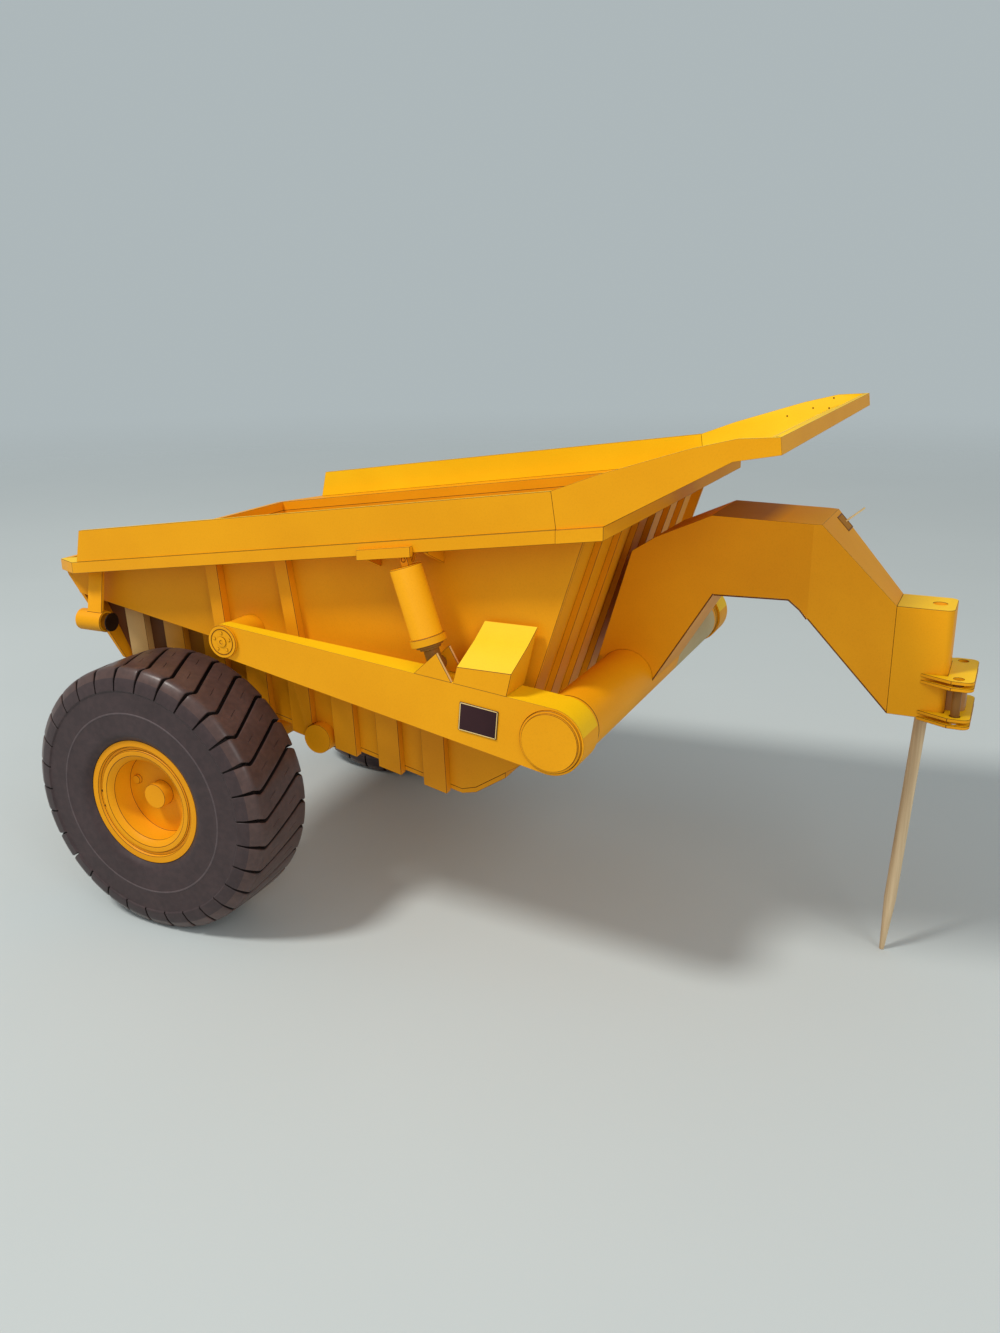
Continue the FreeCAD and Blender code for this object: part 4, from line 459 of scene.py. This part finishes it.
def turned(name, node, profile, count, centre, turn, materials, dark=()):
    """A turned piece of (distance along the axis, radius) points, swept round in count steps.

    The bands of the profile whose numbers are in dark have the second material."""
    shape = bmesh.new()
    angles = [2 * pi * step / count for step in range(count)]
    rings = [[shape.verts.new((radius * cos(angle), along, radius * sin(angle))) for angle in angles]
             for along, radius in profile]
    for band, (ring, above) in enumerate(zip(rings, rings[1:])):
        for step in range(count):
            after = (step + 1) % count
            face = shape.faces.new((ring[step], above[step], above[after], ring[after]))
            face.smooth = True
            face.material_index = 1 if band in dark else 0
    shape.faces.new(rings[0][::-1])
    shape.faces.new(rings[-1])
    bmesh.ops.recalc_face_normals(shape, faces=shape.faces)
    shape.transform(IN_METRES @ Matrix.Translation(centre) @ turn)
    new_piece(name, made(shape, name, SHARP_TURNED), node, materials)


def block(name, node, corners, depth, material):
    """A flat-sided piece: a loop of corners pushed out by a vector, with softened edges."""
    shape = bmesh.new()
    face = shape.faces.new([shape.verts.new(corner * MM) for corner in corners])
    pushed = bmesh.ops.extrude_face_region(shape, geom=[face])["geom"]
    ends = [item for item in pushed if isinstance(item, bmesh.types.BMVert)]
    bmesh.ops.translate(shape, vec=depth * MM, verts=ends)
    bmesh.ops.recalc_face_normals(shape, faces=shape.faces)
    soften(shape, shape.edges[:], BLOCK_EDGE)
    new_piece(name, made(shape, name), node, (material,))


def border(name, node, loop, width, lift, depth, material):
    """A strip inside each edge of a loop of corners, lifted and as deep as two vectors say."""
    middle = sum(loop, Vector()) / len(loop)
    for number, (start, end) in enumerate(zip(loop, loop[1:] + loop[:1])):
        inward = (middle - (start + end) / 2).normalized() * width
        corners = (start, end, end + inward, start + inward)
        block(f"{name}_{number}", node, [corner + lift for corner in corners], depth, material)


# Tyres

LUGS = 30
PITCH = 2 * pi / LUGS
TYRE_RADIUS = 37.0
# Radii where the grooves end on the side, and from which they are at full depth
GROOVE_FOOT, GROOVE_FULL = 30.9, 35.2
FOOT_DEPTH, FULL_DEPTH = 0.30, 2.0
# The columns this near to a groove, as shares of the pitch, narrow to SIDE_SHARE between two radii
NEAR_GROOVE = 0.1
SIDE_SHARE = 0.55
SIDE_RADIUS, TREAD_RADIUS = 33.0, 36.0
# A groove runs round by BEND up to the shoulder, then back by HOOK up to the tread's edge
BEND, HOOK = 3.5, 0.9
SHOULDER, SHOULDER_END = 7.6, 9.8
# Each lug has a narrow cut along this column, between these distances from the middle plane
SIPE = 0.50
SIPE_START, SIPE_END = 2.2, 5.2
# Printed tread above this radius, and the ridge's band on the side
TREAD_FROM = 34.2
RIDGE_SIDE = 12.38
RIDGE_FROM, RIDGE_TO = 24.8, 25.4
TYRE_MATERIALS = (WALL, TREAD, GROOVE_SHADE, RIDGE)
# Columns over one lug: share of the pitch from the groove's middle, and share of the groove's depth
COLUMNS = (
    (0.0, 1.0), (0.040, 1.0), (0.062, 0.12), (0.082, 0.02), (0.12, 0.0), (0.25, 0.0),
    (0.40, 0.0), (0.485, 0.0), (SIPE, 0.12), (0.515, 0.0), (0.60, 0.0),
    (0.75, 0.0), (0.88, 0.0), (0.918, 0.02), (0.938, 0.12), (0.960, 1.0))
# Section from the outer bead to the crown: distance from the middle plane, radius, rounding
SECTION = (
    (10.9, 17.42, 0.0), (12.2, 18.9, 1.1),
    (12.36, 24.85, 0.05), (12.48, 24.98, 0.05), (12.48, 25.22, 0.05), (12.36, 25.35, 0.05),
    (12.12, 30.85, 0.1), (12.46, 31.25, 0.15), (11.72, 34.1, 1.1), (9.80, 36.78, 1.0),
    (5.0, 36.95, 1.0), (0.0, 36.98, 0.0))
ROUND_STEPS = 3
LONGEST_RUN = 1.1


def share_between(value, start, end):
    """How far a value is from start to end, held to 0 and 1."""
    return max(0.0, min(1.0, (value - start) / (end - start)))


def rounded(corners):
    """Points of an outline whose corners are rounded."""
    points = [Vector(corners[0][:2])]
    for before, (y, r, size), after in zip(corners, corners[1:], corners[2:]):
        corner = Vector((y, r))
        start = corner + (Vector(before[:2]) - corner).normalized() * size
        end = corner + (Vector(after[:2]) - corner).normalized() * size
        for step in range(ROUND_STEPS + 1):
            t = step / ROUND_STEPS
            points.append(start.lerp(corner, t).lerp(corner.lerp(end, t), t))
    points.append(Vector(corners[-1][:2]))
    return points


def filled(points):
    """The same outline with long runs divided."""
    out = [points[0]]
    for start, end in zip(points, points[1:]):
        parts = max(1, round((end - start).length / LONGEST_RUN))
        out += [start.lerp(end, part / parts) for part in range(1, parts + 1)]
    return out


def groove_depth(r):
    """Full depth on the tread, less on the shoulder, none below the groove's foot."""
    if r < GROOVE_FOOT:
        return 0.0
    return FOOT_DEPTH + (FULL_DEPTH - FOOT_DEPTH) * share_between(r, GROOVE_FOOT, GROOVE_FULL)


def groove_share(share, r):
    """A column's share of the pitch: the groove is narrower on the side than on the tread."""
    width = SIDE_SHARE + (1 - SIDE_SHARE) * share_between(r, SIDE_RADIUS, TREAD_RADIUS)
    if share < NEAR_GROOVE:
        return share * width
    return 1 - (1 - share) * width if share > 1 - NEAR_GROOVE else share


def groove_shift(y):
    """How far the groove's middle has run round the tyre, from the middle plane."""
    size = abs(y)
    run = BEND * share_between(size, 0, SHOULDER) - HOOK * share_between(size, SHOULDER, SHOULDER_END)
    return run if y > 0 else -run


def tyre_ring(shape, y, r, normal, side):
    """A ring of points at one place of the section, sunk where a groove or a cut crosses it."""
    depth = groove_depth(r)
    start = pi / 2 - groove_shift(y) / TYRE_RADIUS
    in_sipe = SIPE_START < abs(y) < SIPE_END
    ring = []
    for lug in range(LUGS):
        for share, part in COLUMNS:
            sunk = depth * part if in_sipe or share != SIPE else 0.0
            angle = start - (lug + groove_share(share, r)) * PITCH
            radius = r - normal.y * sunk
            place = (radius * cos(angle), side * (y - normal.x * sunk), radius * sin(angle))
            ring.append(shape.verts.new(place))
    return ring


def tyre_material(y, r, in_groove):
    """Material of a face at a distance from the middle plane and a radius."""
    # Groove floors get a near black painted shade
    if in_groove and r > GROOVE_FOOT:
        return GROOVE_SHADE
    if r > TREAD_FROM:
        return TREAD
    if abs(y) > RIDGE_SIDE and RIDGE_FROM < r < RIDGE_TO:
        return RIDGE
    return WALL


def tyre(name, side):
    """Closed tyre whose columns follow the zigzag grooves."""
    node = f"{name}_tyre"
    half = filled(rounded(SECTION))
    section = half + [Vector((-point.x, point.y)) for point in reversed(half[:-1])]
    section_after = section[1:] + section[:1]
    shape = bmesh.new()
    rings = []
    for row, (y, r) in enumerate(section):
        run = section_after[row] - section[row - 1]
        rings.append(tyre_ring(shape, y, r, Vector((run.y, -run.x)).normalized(), side))
    # Columns of which both are deep are the groove's floor
    around = LUGS * len(COLUMNS)
    parts = [part for _, part in COLUMNS] * LUGS
    for row, (lower, upper) in enumerate(zip(rings, rings[1:] + rings[:1])):
        y, r = (section[row] + section_after[row]) / 2
        for column in range(around):
            after = (column + 1) % around
            face = shape.faces.new((lower[column], lower[after], upper[after], upper[column]))
            face.smooth = True
            material = tyre_material(y, r, parts[column] + parts[after] > 1.0)
            face.material_index = TYRE_MATERIALS.index(material)
    bmesh.ops.recalc_face_normals(shape, faces=shape.faces)
    shape.transform(IN_METRES @ Matrix.Translation(centre_of(node)))
    mesh = made(shape, f"{node}_lugs", SHARP_TYRE)
    new_piece(f"{node}_lugs", mesh, node, TYRE_MATERIALS, replaces=True)


# Small pieces

# Profiles: distance out of the face that they stand on, and radius
PIVOT_BOSS = ((-0.1, 1.35), (0.22, 1.30), (0.28, 1.15), (0.28, 0.55), (0.16, 0.45))
PIVOT_RING = ((-0.1, 3.35), (0.10, 3.30), (0.10, 3.15), (-0.1, 3.10))
PIVOT_BOLT = ((-0.1, 0.42), (0.16, 0.40), (0.22, 0.30))
TUBE_RING = ((0.0, 6.35), (0.08, 6.32), (0.08, 6.20), (0.0, 6.17))
VALVE_HOLE = ((-0.1, 0.40), (0.05, 0.38), (0.06, 0.10))
SPECK = ((-0.05, 0.25), (0.04, 0.23), (0.07, 0.14))
PIVOT_BOLTS = 5
BOLT_CIRCLE = 2.3
# How far the ring and the holes lie inside the outermost face
TUBE_RING_SUNK = 0.45
VALVE_SUNK = 0.82
VALVE_ANGLES = (1.5, -15.0)
VALVE_CIRCLE = 14.75
# Specks on the inner face of the canopy's far side: X from the axle and Z
SPECKS = ((148.2, 135.1), (142.7, 132.2), (147.1, 132.3), (135.6, 129.75))
SPECK_Y = 57.3
# The plate falls along its length, and its edges lean
PLATE_FALL, PLATE_LEAN = 1.1, 0.6
PLATE_LINE, PLATE_LINE_INSET = 0.20, 0.15
# Line on the gooseneck's upright faces, beside edges longer than ARCH_EDGE whose other face looks down
ARCH_LINE, ARCH_EDGE = 0.32, 2.0
UPRIGHT, DOWNWARD = 0.8, -0.2
# Ends of the gooseneck's front slope, and the window's edges: from the middle plane, down the slope
SLOPE_TOP, SLOPE_FOOT = from_axle(158.8, 0, 112.0), from_axle(176.3, 0, 93.3)
WINDOW_ACROSS, WINDOW_DOWN = (4.2, 10.6), (1.2, 5.6)
WINDOW_LINE = 0.3
# The wire: its root in the window, and its points' height over the slope and shift
WIRE_ROOT = (8.8, 3.4)
WIRE_POINTS = ((-0.4, (0, 0, 0)), (1.2, (0, 0, 0)), (2.0, (0.6, 1.8, 0.3)), (3.0, (1.4, 4.0, 0.8)))
WIRE_RADIUS = 0.22
# Lines round the draft tube: gaps to the arm, half of the width. Band of painted reflection on the far
# part: from and to in Y
BAND_GAPS, BAND_HALF = (0.9, 2.0), 0.13
REFLECTION_FROM, REFLECTION_TO = 12.0, 49.0
BAND_PROUD, REFLECTION_PROUD, COLLAR_SUNK = 0.05, 0.03, 0.1
# Open end of the lamp tube: shares of its radius at the mouth and inside
LAMP_MOUTH, LAMP_INSIDE = 0.86, 0.70
# Hitch pins: radius, chamfer and radii at the ends, and their place in the lugs' box
PIN_RADIUS, PIN_CHAMFER, PIN_FOOT, PIN_HEAD = 1.05, 0.3, 0.95, 0.9
PIN_FROM_FRONT, PIN_FROM_SIDE, PIN_FROM_BELOW, PIN_SPARE = 3.5, 2.4, 1.2, 2.1


def pivot_cap(name, side):
    """Centre boss, ring and bolt circle on the pivot's cap."""
    node = f"{name}_pivot_pin"
    centre = outer_centre(node, side)
    turn, looks = FACE_OUT[side], (YELLOW, LINE)
    turned(f"{name}_pivot_boss_cap", node, PIVOT_BOSS, 32, centre, turn, looks, dark=(0, 3))
    turned(f"{name}_pivot_ring", node, PIVOT_RING, 48, centre, turn, looks, dark=(0, 1, 2))
    for number in range(PIVOT_BOLTS):
        angle = pi / 2 + 2 * pi * number / PIVOT_BOLTS
        bolt = centre + Vector((cos(angle), 0, sin(angle))) * BOLT_CIRCLE
        turned(f"{name}_pivot_bolt_{number}", node, PIVOT_BOLT, 6, bolt, turn, looks, dark=(0,))


def tube_end(name, side):
    """Dark ring line near the rim of the draft tube's end disc."""
    centre = outer_centre("draft_tube", side, TUBE_RING_SUNK)
    turned(f"{name}_tube_ring", "draft_tube", TUBE_RING, 64, centre, FACE_OUT[side], (LINE,))


def valve_holes(name, side):
    """Two small near black discs in the gutter of the rim: painted shade standing for holes."""
    node = f"{name}_rim"
    centre = outer_centre(node, side, VALVE_SUNK)
    for number, angle in enumerate(VALVE_ANGLES):
        place = centre + Vector((-cos(radians(angle)), 0, sin(radians(angle)))) * VALVE_CIRCLE
        turned(f"{name}_valve_{number}", node, VALVE_HOLE, 16, place, FACE_OUT[side], (HOLE_SHADE,))


def lamp_mouth(name):
    """Near black disc in the open front end of the lamp tube: painted shade inside the tube."""
    node = f"{name}_lamp_tube"
    low, high = size_of(node)
    radius = min(high.y - low.y, high.z - low.z) / 2
    centre = Vector((high.x, (low.y + high.y) / 2, low.z + radius))
    mouth, inside = radius * LAMP_MOUTH, radius * LAMP_INSIDE
    profile = ((-0.3, mouth), (0.03, mouth), (-0.06, inside))
    turned(f"{name}_lamp_mouth", node, profile, 32, centre, ALONG_X, (HOLE_SHADE,))


def plate_border():
    """Light line round the blank plate."""
    low, high = size_of("data_plate")
    along = Vector((high.x - low.x - PLATE_LEAN, 0, -PLATE_FALL))
    upward = Vector((PLATE_LEAN, 0, high.z - low.z - PLATE_FALL))
    first = low + Vector((0, 0, PLATE_FALL))
    corners = [first, first + along, first + along + upward, first + upward]
    middle = sum(corners, Vector()) / len(corners)
    loop = [corner + (middle - corner).normalized() * PLATE_LINE_INSET for corner in corners]
    border("data_plate_border", "data_plate", loop, PLATE_LINE,
           lift=Vector((0, -0.04, 0)), depth=Vector((0, 0.06, 0)), material=PALE)


def neck_window():
    """Small brown window with a dark border and a fine bent wire, on the gooseneck's front slope."""
    down = (SLOPE_FOOT - SLOPE_TOP).normalized()
    across = Vector((0, 1, 0))
    out = down.cross(across)
    (near, far), (top, foot) = WINDOW_ACROSS, WINDOW_DOWN
    corners = ((near, top), (far, top), (far, foot), (near, foot), WIRE_ROOT)
    *loop, root = (SLOPE_TOP + across * aside + down * below for aside, below in corners)
    block("neck_window", "gooseneck", [corner + out * 0.05 for corner in loop], -out * 0.1, WINDOW)
    border("neck_window_edge", "gooseneck", loop, WINDOW_LINE, out * 0.12, -out * 0.12, LINE)
    neck_wire([root + out * height + Vector(shift) for height, shift in WIRE_POINTS])


def neck_wire(points):
    """Short whitish wire that stands out of the window."""
    curve = bpy.data.curves.new("neck_wire", "CURVE")
    curve.dimensions = "3D"
    curve.bevel_depth = WIRE_RADIUS * MM
    curve.bevel_resolution = 3
    spline = curve.splines.new("NURBS")
    spline.points.add(len(points) - 1)
    for point, place in zip(spline.points, points):
        point.co = (*(place * MM), 1)
    spline.order_u = 3
    spline.use_endpoint_u = True
    new_piece("neck_wire", curve, "gooseneck", (PALE,))


def hitch_pins():
    """Upright pins through the near and far holes of the hitch lugs, in the brown of painted shade."""
    low, high = size_of("hitch_lugs")
    top = high.z - low.z - PIN_SPARE
    profile = ((0.0, PIN_FOOT), (PIN_CHAMFER, PIN_RADIUS), (top - PIN_CHAMFER, PIN_RADIUS), (top, PIN_HEAD))
    for name, side in SIDES.items():
        y = side * (high.y - PIN_FROM_SIDE)
        foot = Vector((high.x - PIN_FROM_FRONT, y, low.z + PIN_FROM_BELOW))
        turned(f"{name}_hitch_pin", "hitch_lugs", profile, 24, foot, ALONG_Z, (PIN_SHADE,))


def collar(start, end, radius, proud):
    """Profile of a thin collar on a tube."""
    inner, outer = radius - COLLAR_SUNK, radius + proud
    return (start, inner), (start, outer), (end, outer), (end, inner)


def tube_bands():
    """Two dark lines round the draft tube beside each arm, and a pale band of painted reflection on its far
    part.
    """
    low, high = size_of("draft_tube")
    radius = (high.z - low.z) / 2
    centre = centre_of("draft_tube")
    line = collar(-BAND_HALF, BAND_HALF, radius, BAND_PROUD)
    reflection = collar(REFLECTION_FROM, REFLECTION_TO, radius, REFLECTION_PROUD)
    for name, side in SIDES.items():
        for number, gap in enumerate(BAND_GAPS):
            centre.y = face_y(f"{name}_draft_arm", -side) - side * gap
            turned(f"{name}_tube_band_{number}", "draft_tube", line, 64, centre, ALONG_Y, (LINE,))
    centre.y = 0
    turned("tube_reflection_band", "draft_tube", reflection, 64, centre, ALONG_Y, (TUBE_REFLECTION,))


def canopy_specks():
    """Four small marks on the inner face of the canopy's far side."""
    for number, (x, z) in enumerate(SPECKS):
        place = from_axle(x, SPECK_Y, z)
        turned(f"canopy_speck_{number}", "canopy", SPECK, 12, place, FACE_OUT[-1], (LINE,))


def arch_lines():
    """Dark printed line along the lower edge of the gooseneck's two faces."""
    shape = sheet_of("gooseneck")
    lines = []
    for face in shape.faces:
        if abs(face.normal.y) < UPRIGHT:
            continue
        for edge in face.edges:
            other = next((beside for beside in edge.link_faces if beside is not face), face)
            if other.normal.z < DOWNWARD and edge.calc_length() > ARCH_EDGE * MM:
                start, end = (vertex.co / MM for vertex in edge.verts)
                inward = face.normal.cross(end - start).normalized() * ARCH_LINE
                if inward.dot(face.calc_center_median() / MM - start) < 0:
                    inward = -inward
                lines.append(((start, end, end + inward, start + inward), face.normal.copy()))
    shape.free()
    for number, (corners, out) in enumerate(lines):
        sunk = [corner - out * 0.05 for corner in corners]
        block(f"arch_line_{number}", "gooseneck", sunk, out * 0.09, LINE)


add_camera()
add_world()
add_floor(floor_paper())
add_light("key", (-0.55, -0.75, 1.35), (0, 0, 0.05), size=0.3, power=15.0, color=(1.0, 0.97, 0.93))
add_light("fill", (1.0, -0.9, 0.8), (0, 0, 0.06), size=0.9, power=6.0)
bpy.context.scene.view_settings.view_transform = "Standard"

for side_name, sign in SIDES.items():
    tyre(side_name, sign)
    pivot_cap(side_name, sign)
    tube_end(side_name, sign)
    valve_holes(side_name, sign)
    lamp_mouth(side_name)
plate_border()
neck_window()
hitch_pins()
tube_bands()
canopy_specks()
arch_lines()
for cad_node in sorted(set(frame["nodes"]) - set(both("tyre"))):
    dress(cad_node)
